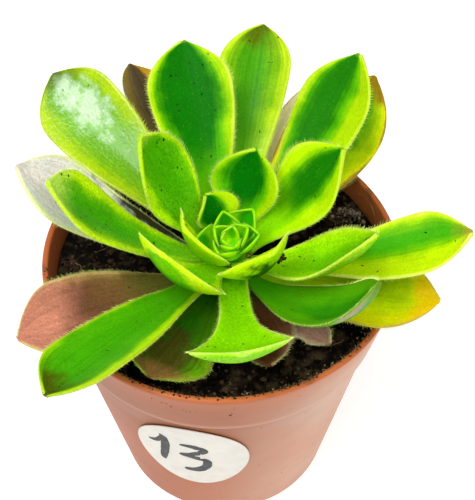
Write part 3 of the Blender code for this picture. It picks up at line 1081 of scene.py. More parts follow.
@dataclass
class Blade:
    """A leaf laid out in space as a solid blade."""

    leaf: Leaf
    root: Vector
    rows: int = 32
    columns: int = 14
    thickness: float = 1.8 * MM
    margin_share: float = 0.38
    wave: float = 0.35 * MM
    hair_girth: float = 0.065 * MM
    frames: list[Frame] = field(init=False)

    def __post_init__(self) -> None:
        """Follows the leaf once."""
        self.frames = self.leaf.frames(self.root, self.rows)

    def point(self, across: float, row: int) -> Vector:
        """Gives a point of the blade's middle surface.

        Args:
            across: Its place across, from -1 to 1.
            row: Its row along.

        Returns:
            The point.
        """
        leaf = self.leaf
        frame = self.frames[row]
        cup = math.radians(leaf.cup)
        half = leaf.width * MM / 2 * leaf.breadth(frame.share)
        worn = noise.noise(Vector((9 * frame.share, 3 if across > 0 else 8, leaf.turn)))
        half *= 1 + leaf.frayed * (worn - 0.2) * frame.share
        out = half * across * (1 - (1 - math.cos(cup)) * abs(across))
        lift = half * math.sin(cup) * abs(across) ** 1.6
        phase = leaf.turn + (40 if across > 0 else 0)
        lift += self.wave * math.sin(11 * frame.share + phase) * abs(across) ** 3 * min(3 * frame.share, 1)
        return frame.middle + frame.side * out + frame.face * lift

    def heft(self, across: float, share: float) -> float:
        """Gives the blade's thickness as a share, from the margin's to the middle's."""
        return (1 - abs(across) ** 2.5) * (1 - 0.5 * share)

    def model(self, name: str) -> bpy.types.Object:
        """Models the blade as a closed, rounded solid.

        Args:
            name: The piece's name.

        Returns:
            The blade, whose UV map holds the shares across and along.
        """
        rows = self.rows
        piece = laid_grid(name, self.columns, rows, lambda u, v: self.point(2 * u - 1, round(v * rows)))
        weights = piece.vertex_groups.new(name="heft")
        for loop, mark in zip(piece.data.loops, piece.data.uv_layers.active.uv):
            share = self.frames[round(mark.vector.y * rows)].share
            weights.add([loop.vertex_index], self.heft(2 * mark.vector.x - 1, share), "REPLACE")
            mark.vector.y = share
        thin = {"vertex_group": "heft", "thickness_vertex_group": self.margin_share}
        modified(piece, "SOLIDIFY", thickness=self.thickness, offset=0, **thin)
        modified(piece, "SUBSURF", levels=1, render_levels=1)
        applied(piece)
        piece.vertex_groups.clear()
        return smoothed(piece)

    def hair_places(self, luck: random.Random, spacing: float) -> list[Matrix]:
        """Places hairs along both margins.

        Args:
            luck: Draws their lengths and leans.
            spacing: The mean gap between them.

        Returns:
            A matrix for each hair.
        """
        places: list[Matrix] = []
        for margin in Margin:
            due = spacing
            for row in range(1, self.rows):
                frame = self.frames[row]
                start = self.point(margin.value, row)
                run = self.point(margin.value, row + 1) - start
                while due < run.length:
                    place = start + run * (due / run.length)
                    out = frame.side * margin.value + frame.face * luck.uniform(-0.1, 0.55)
                    out += frame.along * luck.uniform(0.1, 0.7)
                    length = luck.uniform(0.6, 1.25) * MM * min(0.35 + 1.2 * frame.share, 1)
                    places.append(stood(place - out * 0.1 * MM, out, length, self.hair_girth, luck, 120))
                    due += spacing * luck.uniform(0.5, 1.5)
                due -= run.length
        return places

    def resting_place(self, luck: random.Random) -> tuple[Vector, Vector]:
        """Draws a place on the upper face.

        Args:
            luck: Draws it.

        Returns:
            The place and the face's direction there.
        """
        row = luck.randint(self.rows // 5, self.rows - 4)
        across = luck.uniform(-0.85, 0.85)
        frame = self.frames[row]
        share = self.margin_share + (1 - self.margin_share) * self.heft(across, frame.share)
        return self.point(across, row) + frame.face * (self.thickness / 2 * share), frame.face


@dataclass(frozen=True)
class Stem:
    """The short leaning stem."""

    x: float = 2.0 * MM
    y: float = -2.5 * MM
    lean: float = -0.285
    foot: float = 58.3 * MM
    bend: float = 71 * MM
    top: float = 83.4 * MM
    foot_radius: float = 4.5 * MM
    top_radius: float = 3.5 * MM
    rings: int = 36
    groove: float = 0.12 * MM

    def axis(self, height: float) -> Vector:
        """Gives the stem's middle at a height."""
        return Vector((self.x, self.y + self.lean * max(height - self.bend, 0), height))

    def radius(self, height: float) -> float:
        """Gives the stem's radius at a height."""
        share = min(max((height - self.bend) / (self.top - self.bend), 0), 1)
        return self.foot_radius + (self.top_radius - self.foot_radius) * share

    def build(self) -> None:
        """Models the stem with the rings that fallen leaves left on it."""
        profile = [(0.0, self.foot)]
        for ring in range(self.rings + 1):
            height = self.foot + (self.top - self.foot) * ring / self.rings
            groove = self.groove * math.cos(math.tau * ring / 3)
            profile.append((self.radius(height) - 0.15 * MM + groove, height))
        profile += [(self.top_radius * 0.55, self.top + 0.05 * MM), (0.0, self.top + 0.1 * MM)]
        piece = spun("stem_skin", profile, 40)
        for vertex in piece.data.vertices:
            dent = 1 + 0.05 * noise.noise(vertex.co / (2 * MM))
            middle = self.axis(vertex.co.z)
            vertex.co = Vector((vertex.co.x * dent + middle.x, vertex.co.y * dent + middle.y, vertex.co.z))
        smoothed(piece, 60)
        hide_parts("stem")
        dressed(piece, StemFinish())


LEAVES = (
    Leaf(115, 67, 44, 33, 0, 10.5, 12, 0.60, YOUNG_RIGHT, cup=18),
    Leaf(219, 49, 84, 0, -6, 17, 18.5, 0.60, LIME, cup=20),
    Leaf(70, 45, 62, -4, -4, 21, 18, 0.62, YOUNG_LEFT, cup=22),
    Leaf(299, 25, 88, 0, 8, 22.5, 20, 0.64, SCARRED, cup=25),
    Leaf(154, 46, 80, 13, -4, 33.5, 19.8, 0.66, GRAINY),
    Leaf(22.5, 38, 60, -7, 6, 33, 20.5, 0.66, HALF_LEFT),
    Leaf(238, 20, 90, -3, -7, 33.5, 23, 0.74, BLOTCHED),
    Leaf(107, 34, 34, -7, -9, 49, 21, 0.76, HEARTED),
    Leaf(331.5, 15, 74, 4, -4, 41, 17.5, 0.50, SOFT, cup=25, neck=0.14),
    Leaf(194.5, 30, 64, -6, 0, 47.5, 18, 0.79, TONGUE),
    Leaf(42, 33, 58, 10, -4, 52, 19, 0.76, SIDE_LEFT),
    Leaf(275, 7, 80, -3, 8, 42, 22, 0.84, SPOON, late=2.6, neck=0.32, flare=6),
    Leaf(138.5, 20, 10, -12, -35, 62, 21.5, 0.78, GLOSSY),
    Leaf(349.5, 9, 36, 6, 11, 52.5, 16.5, 0.79, BROAD),
    Leaf(83, 28, 18, -3, -4, 59, 19, 0.77, STREAKED),
    Leaf(229.5, 12, 8, 0, 17, 53, 19, 0.81, TIPPED),
    Leaf(175, 21, 52, 3, -7, 51, 19, 0.75, SILVER),
    Leaf(310, 6, 84, 12, 8, 54, 15.5, 0.60, SHADE, cup=25),
    Leaf(49, 20, 19, 6, 26, 56.5, 23, 0.65, YELLOWING),
    Leaf(112, 23, 0, 8, 20, 60, 18.5, 0.68, BRONZE),
    Leaf(210, 5, 7, -4, -4, 48, 23, 0.74, PINK, neck=0.16),
    Leaf(340.5, 9, 4, 6, 18, 45, 21, 0.66, AUTUMN, neck=0.2),
    Leaf(289, 6, 0, -6, -3, 26, 16, 0.69, UMBER, cup=10, frayed=0.12),
    Leaf(243.5, 0, 14, -3, 0, 33, 22, 0.80, OLIVE, cup=8, neck=0.14, frayed=0.07),
    Leaf(315.5, -2.5, 10, -4, 0, 27.5, 9.5, 0.70, WITHERED, neck=0.15, frayed=0.45),
    Leaf(57, 10, 12, 32, 3, 56, 18, 0.67, BLUSH),
)


@dataclass
class Rosette:
    """All the leaves round the stem, with their hairs and the crumbs on them.

    dirty names the leaves that most crumbs lie on, counted from 1, some of them twice.
    """

    stem: Stem
    leaves: Sequence[Leaf] = LEAVES
    youngest_root: float = 83.4 * MM
    root_step: float = 0.45 * MM
    clearance: float = 0.3 * MM
    hair_spacing: float = 0.42 * MM
    crumbs: int = 420
    debris: int = 14
    dirty: tuple[int, ...] = (5, 5, 10, 9, 9, 18, 16, 12, 2, 8)
    dirty_share: float = 0.6
    luck: random.Random = field(default_factory=lambda: random.Random(7))
    blades: list[Blade] = field(init=False)

    def __post_init__(self) -> None:
        """Lays out each blade from its root."""
        self.blades = []
        for number, leaf in enumerate(self.leaves):
            height = self.youngest_root - self.root_step * number
            gap = 1.5 * self.clearance + Blade.thickness / 2 * math.sin(math.radians(leaf.rise))
            outward = polar(self.stem.radius(height) + gap, math.radians(leaf.turn))
            self.blades.append(Blade(leaf, self.stem.axis(height) + outward))

    def build(self) -> None:
        """Models every leaf, its hairs and the crumbs."""
        for number, blade in enumerate(self.blades, start=1):
            name = f"leaf_{number:02d}"
            piece = blade.model(f"{name}_blade")
            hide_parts(name)
            dressed(piece, blade.leaf.finish)
        places = [place for blade in self.blades for place in blade.hair_places(self.luck, self.hair_spacing)]
        dressed(copies("margin_hairs", hair_shape(), places, self.luck), HAIR)
        self.scatter_crumbs()
        self.pile_debris()

    def scatter_crumbs(self) -> None:
        """Drops soil crumbs on the young and middle leaves, most of them on the dirtiest ones."""
        luck = self.luck
        busy = [blade for blade in self.blades if blade.leaf.finish.slot == "leaf_fresh"]
        places = []
        for _ in range(self.crumbs):
            often = luck.random() < self.dirty_share
            blade = self.blades[luck.choice(self.dirty) - 1] if often else luck.choice(busy)
            place, face = blade.resting_place(luck)
            size = 0.13 * MM + 0.34 * MM * luck.random() ** 3
            lying = stood(place, face, size, size * luck.uniform(1, 1.5), luck)
            places.append(lying @ Matrix.Diagonal((1, luck.uniform(0.4, 1), 0.7, 1)))
        strewn("leaf_crumbs", CRUMB, places, luck)

    def pile_debris(self) -> None:
        """Piles a small clump of brown debris on the rim of the fourth leaf."""
        luck = self.luck
        heap = self.blades[3].point(0.5, 15) + Vector((0.6, -1.2, 0.5)) * MM
        places = []
        for _ in range(self.debris):
            offset = Vector((luck.gauss(0, 0.6), luck.gauss(0, 0.35), luck.uniform(0, 1.0))) * MM
            size = luck.uniform(0.5, 1.0) * MM
            places.append(stood(heap + offset, Vector((0, -0.4, 1)), size, size * 0.8, luck))
        strewn("leaf_debris", DEBRIS, places, luck)


@dataclass(frozen=True)
class Bud:
    """The bud: young leaves in a spiral on a low core."""

    stem: Stem
    turns: tuple[float, ...] = (50, 187, 0, 104, 246, 25, 150, 290, 70, 205)
    outer_leaves: int = 4
    leaf_thickness: float = 0.9 * MM
    gap: float = 0.45 * MM
    core_height: float = 4 * MM
    core_radius: float = 3.4 * MM
    hair_spacing: float = 0.45 * MM
    hair_size: float = 0.6
    tilt: float = 18

    def core(self, base: float) -> bpy.types.Object:
        """Models the core that the leaves stand on.

        Args:
            base: The height of its foot.

        Returns:
            The core.
        """
        middle = self.stem.axis(base + self.core_height / 2)
        core = added(bpy.ops.mesh.primitive_uv_sphere_add, segments=24, ring_count=14, radius=1)
        for vertex in core.data.vertices:
            x, y, z = vertex.co
            reach = Vector((x * self.core_radius, y * self.core_radius, z * self.core_height / 2))
            vertex.co = middle + reach
        return core

    def blade(self, index: int, base: float) -> Blade:
        """Lays out one leaf.

        Args:
            index: Which leaf, counted from the outermost.
            base: The height of the bud's foot.

        Returns:
            Its blade.
        """
        age = index / (len(self.turns) - 1)
        slopes = (35 + 30 * age, 80 + 20 * age)
        length, width = 9.2 - 2.7 * age, 10.5 - 5 * age
        leaf = Leaf(self.turns[index], *slopes, 0, 0, length, width, 0.62, cup=42, neck=0.75)
        outward = polar((2.9 - 2.2 * age) * MM, math.radians(leaf.turn))
        root = self.stem.axis(base + (0.8 + 1.0 * age) * MM) + outward
        return Blade(leaf, root, rows=16, columns=10, thickness=self.leaf_thickness, wave=0.1 * MM)

    def build(self) -> None:
        """Models the bud's leaves, core and hairs, all leaning towards the viewer."""
        luck = random.Random(3)
        base = self.stem.top + self.gap
        pieces = [self.core(base)]
        places: list[Matrix] = []
        for index in range(len(self.turns)):
            blade = self.blade(index, base)
            pieces.append(blade.model("bud_leaf"))
            places += blade.hair_places(luck, self.hair_spacing)
        core, *leaves = pieces
        outer = leaves[: self.outer_leaves]
        inner = [core, *leaves[self.outer_leaves :]]
        pivot = Matrix.Translation(self.stem.axis(base))
        lean = pivot @ Matrix.Rotation(math.radians(self.tilt), 4, "X") @ pivot.inverted()
        for name, group, finish in (("bud_leaves", outer, BUD), ("bud_heart", inner, INNER_BUD)):
            bud = smoothed(joined(name, group))
            bud.data.transform(lean)
            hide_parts("bud")
            dressed(bud, finish)
        places = [lean @ place @ Matrix.Scale(self.hair_size, 4) for place in places]
        dressed(copies("bud_hairs", hair_shape(), places, luck), HAIR)


@dataclass(frozen=True)
class Pot:
    """The tapered nursery pot with its collar band and drain holes."""

    height: float = 76 * MM
    rim: float = 42.5 * MM
    band_foot: float = 39.3 * MM
    band: float = 16.5 * MM
    body_top: float = 38.4 * MM
    foot: float = 28.8 * MM
    wall: float = 1.5 * MM
    floor: float = 2.0 * MM
    edge: float = 0.5 * MM
    drain_holes: int = 6
    drain_circle: float = 19 * MM
    drain_radius: float = 2.5 * MM
    steps: int = 168

    @property
    def low(self) -> float:
        """The height of the band's lower edge."""
        return self.height - self.band

    def body(self, height: float) -> float:
        """Gives the outer radius of the tapered body at a height."""
        return self.foot + (self.body_top - self.foot) * height / self.low

    def outer(self, height: float) -> float:
        """Gives the outer radius at a height, on the body or the band."""
        on_band = self.band_foot + (self.rim - self.band_foot) * (height - self.low) / self.band
        return self.body(height) if height < self.low else on_band

    def inner(self, height: float) -> float:
        """Gives the radius of the pot's inside.

        Args:
            height: Where on the wall.

        Returns:
            The radius there.
        """
        above = height - self.low
        if above < 0:
            return self.body(height) - self.wall
        if above < self.wall:
            return self.body_top - self.wall + (self.band_foot - self.body_top) * above / self.wall
        share = (above - self.wall) / (self.height - self.edge - self.low - self.wall)
        return self.band_foot - self.wall + (self.rim - self.band_foot) * share

    def profile(self) -> list[tuple[float, float]]:
        """Follows the pot's section, from the inner floor over the lip to the foot.

        Returns:
            Radius and height of each point.
        """
        low = self.low
        levels = (self.floor + 0.5 * MM, 20 * MM, 40 * MM, low, low + self.wall, 68 * MM)
        start = [(0.0, self.floor), (self.inner(self.floor) - 1 * MM, self.floor)]
        inside = [(self.inner(height), height) for height in levels]
        lip: list[tuple[float, float]] = []
        middle = self.rim - self.wall / 2
        for step in range(9):
            angle = math.pi * (1 - step / 8)
            radius = middle + self.wall / 2 * math.cos(angle)
            lip.append((radius, self.height - self.edge * (1 - math.sin(angle))))
        band = (74 * MM, 70 * MM, 66 * MM, 62 * MM, low + 1.2 * MM)
        outside = [(self.outer(height), height) for height in band]
        step_in = [(self.band_foot + 0.05 * MM, low + 0.5 * MM), (self.band_foot - 0.15 * MM, low + 0.1 * MM)]
        step_in += [(self.band_foot - 0.5 * MM, low - 0.1 * MM), (self.body_top, low - 0.5 * MM)]
        body = [(self.body(height * MM), height * MM) for height in (50, 40, 30, 20, 10, 3, 1)]
        foot = [(self.foot - 0.2 * MM, 0.3 * MM), (self.foot - 1 * MM, 0.0), (0.0, 0.0)]
        return [*start, *inside, *lip, *outside, *step_in, *body, *foot]

    def build(self) -> None:
        """Models the pot, cuts its drain holes and marks its points for the finish."""
        pot = spun("pot_shell", self.profile(), self.steps)
        holes = []
        for index in range(self.drain_holes):
            place = polar(self.drain_circle, math.tau * index / self.drain_holes, self.floor / 2)
            size = {"vertices": 32, "radius": self.drain_radius, "depth": 6 * MM}
            holes.append(added(bpy.ops.mesh.primitive_cylinder_add, location=place, **size))
            modified(pot, "BOOLEAN", operation="DIFFERENCE", object=holes[-1])
        applied(pot)
        for hole in holes:
            bpy.data.objects.remove(hole)
        outside: list[bool] = []
        inside: list[bool] = []
        for vertex in pot.data.vertices:
            x, y, z = vertex.co
            within = math.hypot(x, y) < self.outer(z) - 0.8 * MM and z > 1 * MM
            outside.append(not within and z <= self.height - 0.45 * MM)
            inside.append(within and z < self.height - 3 * MM)
        marked(pot, "outside", outside)
        marked(pot, "inside", inside)
        smoothed(pot, 40)
        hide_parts("pot")
        dressed(pot, PotFinish())

    def smudges(self) -> None:
        """Leaves a few dark soil marks on the band, and finer ones all round.

        Each mark has its azimuth, its height and its radius, in degrees and millimetres.
        """
        luck = random.Random(11)
        marks = [(244.3, 74.0, 0.22), (249.3, 72.3, 0.3), (252.3, 71.5, 0.3), (254, 71.5, 0.25)]
        marks += [(255.2, 70.4, 0.34), (258.7, 69.7, 0.2), (259.8, 69.5, 0.22), (261, 69.3, 0.26)]
        marks += [(262.5, 69.1, 0.2), (273.1, 68.3, 0.55), (273.6, 69.2, 0.3), (274.1, 71.6, 0.22)]
        marks += [(274.4, 72.5, 0.2), (294.7, 71.1, 0.2)]
        marks += [(luck.uniform(0, 360), luck.uniform(8, 73), luck.uniform(0.1, 0.2)) for _ in range(46)]
        places = []
        for azimuth, height, size in marks:
            angle = math.radians(azimuth)
            place = polar(self.outer(height * MM), angle, height * MM)
            places.append(stood(place, polar(1, angle), 0.35 * size * MM, size * MM, luck))
        strewn("pot_smudges", SOIL, places, luck)

    def lip_dirt(self) -> None:
        """Leaves small heaps of dry soil along the front of the lip."""
        luck = random.Random(12)
        heaps = [luck.uniform(190, 345) for _ in range(22)]
        places = []
        for _ in range(620):
            angle = math.radians(luck.gauss(luck.choice(heaps), 3))
            size = (0.09 + 0.3 * luck.random() ** 3) * MM
            reach = self.rim - luck.uniform(0.5, 1.8) * MM
            places.append(stood(polar(reach, angle, self.height + 0.05 * MM), UP, 0.6 * size, size, luck))
        strewn("lip_dirt", DEBRIS, places, luck)


@dataclass(frozen=True)
class Soil:
    """The potting soil with its crumbs, grit and fibres."""

    pot: Pot
    top: float = 70.4 * MM
    lump: float = 0.9 * MM
    lump_size: float = 6 * MM
    clod: float = 0.55 * MM
    clod_size: float = 2.6 * MM
    gap: float = 0.3 * MM
    rings: int = 60
    steps: int = 230
    clump_x: float = 32.5 * MM
    clump_y: float = 15.5 * MM
    clump_crumbs: int = 260
    rim_crumbs: int = 760
    short_fibres: int = 46
    luck: random.Random = field(default_factory=lambda: random.Random(21))

    def surface(self, x: float, y: float) -> float:
        """Gives the height of the soil's lumps and clods.

        Args:
            x: The place along X.
            y: The place along Y.

        Returns:
            The height there.
        """
        lumps = self.lump * noise.noise(Vector((x, y, 0)) / self.lump_size)
        clods = self.clod * noise.fractal(Vector((x, y, 0.01)) / self.clod_size, 0.7, 2.1, 4)
        return self.top + lumps + clods

    def build(self) -> None:
        """Models the ground and everything that lies on it."""
        pot = self.pot
        edge = pot.inner(self.top) - self.gap
        profile = [(edge * ring / self.rings, self.top) for ring in range(self.rings + 1)]
        levels = (pot.low + pot.wall, pot.low, 30 * MM, 4 * MM)
        profile += [(pot.inner(height) - self.gap, height) for height in levels]
        floor = pot.floor + self.gap
        profile += [(pot.inner(floor) - self.gap, floor), (0.0, floor)]
        ground = spun("soil_ground", profile, self.steps)
        tones = []
        for vertex in ground.data.vertices:
            x, y, z = vertex.co
            if abs(z - self.top) < 0.1 * MM:
                reach = min((edge - math.hypot(x, y)) / (1.5 * MM), 1)
                vertex.co.z = self.top + (self.surface(x, y) - self.top) * (0.3 + 0.7 * max(reach, 0))
            tones.append(min(max(0.25 + 0.6 * noise.noise(Vector((x, y, z)) / (3 * MM)), 0), 1))
        marked(ground, "tone", tones)
        smoothed(ground)
        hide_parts("soil")
        dressed(ground, SOIL)
        self.strew("soil_clods", Grain.LUMP, SOIL, 240, (0.4, 1.3))
        self.strew("soil_crumbs", Grain.CRUMB, SOIL, 2000, (0.25, 0.8))
        self.strew("soil_chips", Grain.CRUMB, DEBRIS, 330, (0.25, 0.7))
        self.strew("soil_grit", Grain.CRUMB, GRIT, 54, (0.2, 0.4))
        self.dusty_clump()
        self.rim_grit()
        self.fibres()

    def strew(
        self, name: str, grain: Grain, finish: GroundFinish, count: int, sizes: tuple[float, float]
    ) -> None:
        """Strews lumps of three shapes evenly over the soil.

        Args:
            name: The piece's name.
            grain: How finely a lump is modelled.
            finish: What it is made of.
            count: How many there are.
            sizes: The smallest and largest radius, in millimetres.
        """
        luck = self.luck
        edge = self.pot.inner(self.top) - 1.0 * MM
        parts = []
        for _ in range(3):
            places = []
            for _ in range(count // 3):
                size = (sizes[0] + (sizes[1] - sizes[0]) * luck.random() ** 2) * MM
                place = polar((edge - size * 0.6) * math.sqrt(luck.random()), luck.uniform(0, math.tau))
                tilt = leaning(luck, 0.6)
                place.z = self.surface(place.x, place.y) + size * luck.uniform(-0.1, 0.35)
                places.append(stood(place, tilt, size, size, luck))
            parts.append(copies(name, rough_lump(grain, luck), places, luck))
        dressed(joined(name, parts), finish)

    def dusty_clump(self) -> None:
        """Heaps a clump of drier, dusty soil at the back right."""
        luck = self.luck
        places = []
        for _ in range(self.clump_crumbs):
            x, y = luck.gauss(self.clump_x, 2.2 * MM), luck.gauss(self.clump_y, 1.7 * MM)
            if math.hypot(x, y) > self.pot.inner(self.top) - 1.2 * MM:
                continue
            size = (0.2 + 0.6 * luck.random() ** 2) * MM
            away = math.hypot(x - self.clump_x, y - self.clump_y)
            heap = 2.2 * MM * math.exp(-((away / (3 * MM)) ** 2))
            place = Vector((x, y, self.surface(x, y) + heap * luck.uniform(0.3, 1)))
            places.append(stood(place, leaning(luck, 1), size, size, luck))
        strewn("soil_clump", DRY, places, luck)

    def rim_grit(self) -> None:
        """Leaves pale grit and dust against the front and right of the lip."""
        luck = self.luck
        places = []
        for _ in range(self.rim_crumbs):
            angle = math.radians(luck.triangular(232, 348, 302))
            size = (0.1 + 0.36 * luck.random() ** 3) * MM
            climb = luck.random() ** 2
            height = self.top + climb * 4.6 * MM
            reach = self.pot.inner(height) - size * 0.4 - luck.random() ** 2 * 2.5 * MM * (1 - climb)
            place = polar(reach, angle, height if climb > 0.1 else self.top + 0.5 * MM)
            places.append(stood(place, leaning(luck, 1), size, size, luck))
        strewn("rim_grit", GRIT, places, luck)

    def fibre_runs(self) -> list[list[tuple[float, float, float]]]:
        """Lays out the root fibres, one long one against the right wall and the rest at random.

        Returns:
            The points along each fibre, in millimetres.
        """
        luck = self.luck
        long_run = [(34.3, 20.8, 73.5), (36.2, 18.4, 74.2), (37.4, 15.8, 73.8), (38.0, 13.2, 72.6)]
        runs = [[*long_run, (38.2, 11.0, 71.4)]]
        for _ in range(self.short_fibres):
            reach = 37 * math.sqrt(luck.random())
            angle = luck.uniform(0, math.tau)
            x = reach * math.cos(angle)
            y = reach * math.sin(angle)
            heading = luck.uniform(0, math.tau)
            run = []
            while len(run) < 6 and math.hypot(x, y) <= 38.5:
                run.append((x, y, self.surface(x * MM, y * MM) / MM + luck.uniform(0.2, 0.9)))
                heading += luck.uniform(-0.7, 0.7)
                stride = luck.uniform(0.5, 1.4)
                x += stride * math.cos(heading)
                y += stride * math.sin(heading)
            if len(run) > 2:
                runs.append(run)
        return runs

    def fibres(self) -> None:
        """Models the root fibres as thin tubes."""
        curve = bpy.data.curves.new("soil_fibres", "CURVE")
        curve.dimensions = "3D"
        curve.bevel_depth = 0.07 * MM
        curve.bevel_resolution = 1
        curve.use_fill_caps = True
        for run in self.fibre_runs():
            spline = curve.splines.new("NURBS")
            spline.points.add(len(run) - 1)
            spline.use_endpoint_u = True
            spline.order_u = 3
            for point, place in zip(spline.points, run):
                point.co = (*(axis * MM for axis in place), 1)
        piece = bpy.data.objects.new("soil_fibres", curve)
        bpy.context.scene.collection.objects.link(piece)
        alone(piece)
        bpy.ops.object.convert(target="MESH")
        piece = bpy.context.object
        tones = [0.5 + 0.4 * noise.noise(vertex.co / (8 * MM)) for vertex in piece.data.vertices]
        marked(piece, "tone", tones)
        dressed(piece, FIBRE)


@dataclass(frozen=True)
class Label:
    """The oval paper sticker on the pot with its hand-brushed number."""

    pot: Pot
    half_width: float = 14.0 * MM
    half_height: float = 17.3 * MM
    lean: float = -4.5
    azimuth: float = 257.9
    middle: float = 39.1 * MM
    lift: float = 0.3 * MM
    thickness: float = 0.3 * MM

    def on_wall(self, across: float, up: float) -> Vector:
        """Puts a place of the flat sticker on the pot's wall.

        Args:
            across: The place across the sticker, from its middle.
            up: The place up the sticker, from its middle.

        Returns:
            The place off the wall, where the sticker's back lies.
        """
        lean = math.radians(self.lean)
        along = across * math.cos(lean) - up * math.sin(lean)
        height = self.middle + across * math.sin(lean) + up * math.cos(lean)
        angle = math.radians(self.azimuth) + along / self.pot.body(self.middle)
        return polar(self.pot.body(height) + self.lift, angle, height)

    def build(self) -> None:
        """Models the sticker and the strokes on it."""
        sticker = added(bpy.ops.mesh.primitive_circle_add, vertices=96, radius=1, fill_type="NGON")
        sticker.name = "label_sticker"
        bpy.ops.object.mode_set(mode="EDIT")
        bpy.ops.mesh.select_all(action="SELECT")
        for thickness in (0.02, 0.08, 0.15, 0.2, 0.2, 0.2):
            bpy.ops.mesh.inset(thickness=thickness)
        bpy.ops.mesh.poke()
        bpy.ops.object.mode_set(mode="OBJECT")
        for vertex in sticker.data.vertices:
            vertex.co = self.on_wall(vertex.co.x * self.half_width, vertex.co.y * self.half_height)
        modified(sticker, "SOLIDIFY", thickness=self.thickness, offset=1)
        modified(sticker, "BEVEL", width=0.08 * MM, segments=2, limit_method="ANGLE")
        smoothed(applied(sticker), 40)
        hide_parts("label")
        dressed(sticker, STICKER)
        number = joined("label_number", [Stroke(self, stations).model() for stations in STROKES])
        dressed(smoothed(number, 60), INK)


STROKES = (
    ((241.1, 43.9, 0.35), (243.4, 44.2, 0.8), (245.6, 45.6, 0.8), (247.4, 48.0, 0.7), (248.4, 49.2, 0.6)),
    ((248.2, 49.6, 1.1), (248.4, 45.5, 1.35), (247.4, 40.5, 1.3), (246.0, 36.0, 1.1), (245.3, 33.4, 0.7)),
    ((254.2, 46.4, 0.4), (257.5, 46.6, 0.9), (261.0, 46.1, 1.2), (263.3, 44.8, 1.25), (261.6, 43.0, 1.1)),
    ((261.6, 43.0, 1.1), (258.0, 41.4, 0.9), (254.4, 40.4, 0.7), (257.5, 39.9, 0.9), (261.5, 39.4, 1.2)),
    ((261.5, 39.4, 1.2), (264.2, 37.6, 1.35), (263.4, 34.2, 1.3), (259.8, 31.6, 1.3), (254.2, 30.9, 0.8)),
)


@dataclass(frozen=True)
class Stroke:
    """One brush stroke of the number, a thin strip on the sticker.

    Each station has its azimuth in degrees, and its height and half width in millimetres.
    """

    label: Label
    stations: Sequence[tuple[float, float, float]]
    thickness: float = 0.03 * MM
    lift: float = 0.012 * MM

    def along(self, share: float) -> Vector:
        """Follows the stations on a smooth curve over the unrolled wall.

        Args:
            share: How far along the stroke.

        Returns:
            The place round the wall, the height and the half width.
        """
        last = len(self.stations) - 1
        place = min(share, 0.9999) * last
        start = int(place)
        t = place - start
        near = []
        for step in (-1, 0, 1, 2):
            turn, up, wide = self.stations[min(max(start + step, 0), last)]
            round_wall = math.radians(turn) * self.label.pot.body(up * MM)
            near.append(Vector((round_wall, up * MM, wide * MM)))
        a, b, c, d = near
        curve = 2 * b + (c - a) * t + (2 * a - 5 * b + 4 * c - d) * t * t
        return 0.5 * (curve + (3 * b - a - 3 * c + d) * t**3)

    def point(self, u: float, v: float) -> Vector:
        """Lays a point of the strip.

        Args:
            u: Its share across.
            v: Its share along.

        Returns:
            The point on the sticker.
        """
        here = self.along(v)
        run = self.along(min(v + 0.01, 1)) - self.along(max(v - 0.01, 0))
        run = Vector((run.x, run.y)).normalized()
        end = math.sqrt(max(1 - max(0.0, abs(2 * v - 1) * 8 - 7) ** 2, 0.02))
        ragged = 1 + 0.12 * noise.noise(Vector((v * 9, u * 3, len(self.stations) + here.y / MM)))
        out = (2 * u - 1) * here.z * end * ragged
        height = here.y + run.x * out
        label = self.label
        radius = label.pot.body(height) + label.lift + label.thickness + self.lift
        return polar(radius, (here.x - run.y * out) / label.pot.body(here.y), height)

    def model(self) -> bpy.types.Object:
        """Models the stroke.

        Returns:
            The strip, with its thickness.
        """
        piece = laid_grid("label_stroke", 4, 40, self.point)
        modified(piece, "SOLIDIFY", thickness=self.thickness, offset=-1)
        return applied(piece)


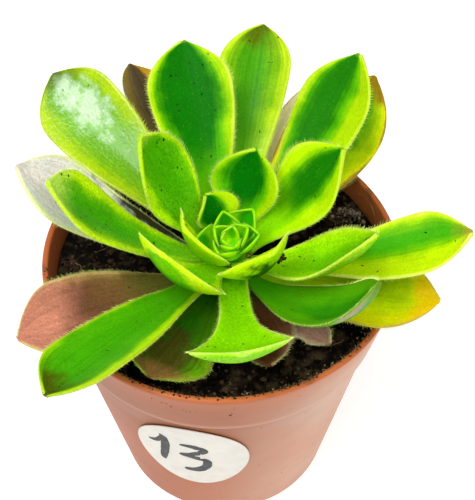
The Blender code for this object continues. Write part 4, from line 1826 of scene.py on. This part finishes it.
@dataclass(frozen=True)
class Lamp:
    """A soft rectangular light that looks at the plant. Only a glossy one shows in reflections."""

    name: str
    azimuth: float
    elevation: float
    watts: float
    size: tuple[float, float] = (0.5, 0.5)
    glossy: bool = False
    distance: float = 0.7
    aim: float = 80 * MM

    def build(self) -> None:
        """Adds the light."""
        rise = math.radians(self.elevation)
        out = polar(math.cos(rise), math.radians(self.azimuth), math.sin(rise))
        turn = out.to_track_quat("Z", "Y").to_euler()
        place = UP * self.aim + out * self.distance
        light = added(bpy.ops.object.light_add, type="AREA", location=place, rotation=turn)
        light.name = self.name
        light.visible_glossy = self.glossy
        light.data.shape = "RECTANGLE"
        light.data.size, light.data.size_y = self.size
        light.data.energy = self.watts


@dataclass(frozen=True)
class Studio:
    """The camera at the photograph's place, a pale floor and soft lights. lens is in millimetres."""

    eye: tuple[float, float, float] = (3.8 * MM, -161.7 * MM, 264.6 * MM)
    elevation: float = 49.4
    lens: float = 75.15
    floor_size: float = 12
    sky: float = 0.38
    lamps: tuple[Lamp, ...] = (
        Lamp("window", 203, 60, 3.7, size=(0.5, 0.45), glossy=True),
        Lamp("fill", 288, 60, 2.7),
        Lamp("side", 350, 25, 1.0),
    )

    def build(self) -> None:
        """Adds the camera, the floor and the lights."""
        scene = bpy.context.scene
        scene.view_settings.view_transform = "Standard"
        turn = (math.radians(90 - self.elevation), 0, 0)
        camera = added(bpy.ops.object.camera_add, location=self.eye, rotation=turn)
        camera.data.lens = self.lens
        camera.data.sensor_width = 36
        camera.data.clip_start = 0.01
        scene.camera = camera
        floor = added(bpy.ops.mesh.primitive_plane_add, size=self.floor_size)
        floor.name = "studio_floor"
        floor.data.materials.append(FloorFinish().material())
        floor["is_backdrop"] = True
        scene.world = bpy.data.worlds.new("studio sky")
        scene.world.use_nodes = True
        scene.world.cycles_visibility.glossy = False
        tree = scene.world.node_tree
        Sheet(tree).feed(tree.nodes["Background"].inputs, {"Color": (1, 1, 1), "Strength": self.sky})
        for lamp in self.lamps:
            lamp.build()


def corners() -> list[list[float]]:
    """Gives the whole object's box as plain numbers."""
    return [[float(value) for value in corner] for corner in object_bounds()]


def main() -> None:
    """Builds the studio and the plant over the frame."""
    logging.basicConfig(level=logging.INFO, format="%(name)s %(message)s")
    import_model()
    bpy.ops.object.select_all(action="DESELECT")
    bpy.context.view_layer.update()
    Studio().build()
    pot = Pot()
    stem = Stem()
    pot.build()
    pot.smudges()
    pot.lip_dirt()
    Label(pot).build()
    Soil(pot).build()
    stem.build()
    Bud(stem).build()
    Rosette(stem).build()
    bpy.context.view_layer.update()


if __name__ == "__main__":
    main()
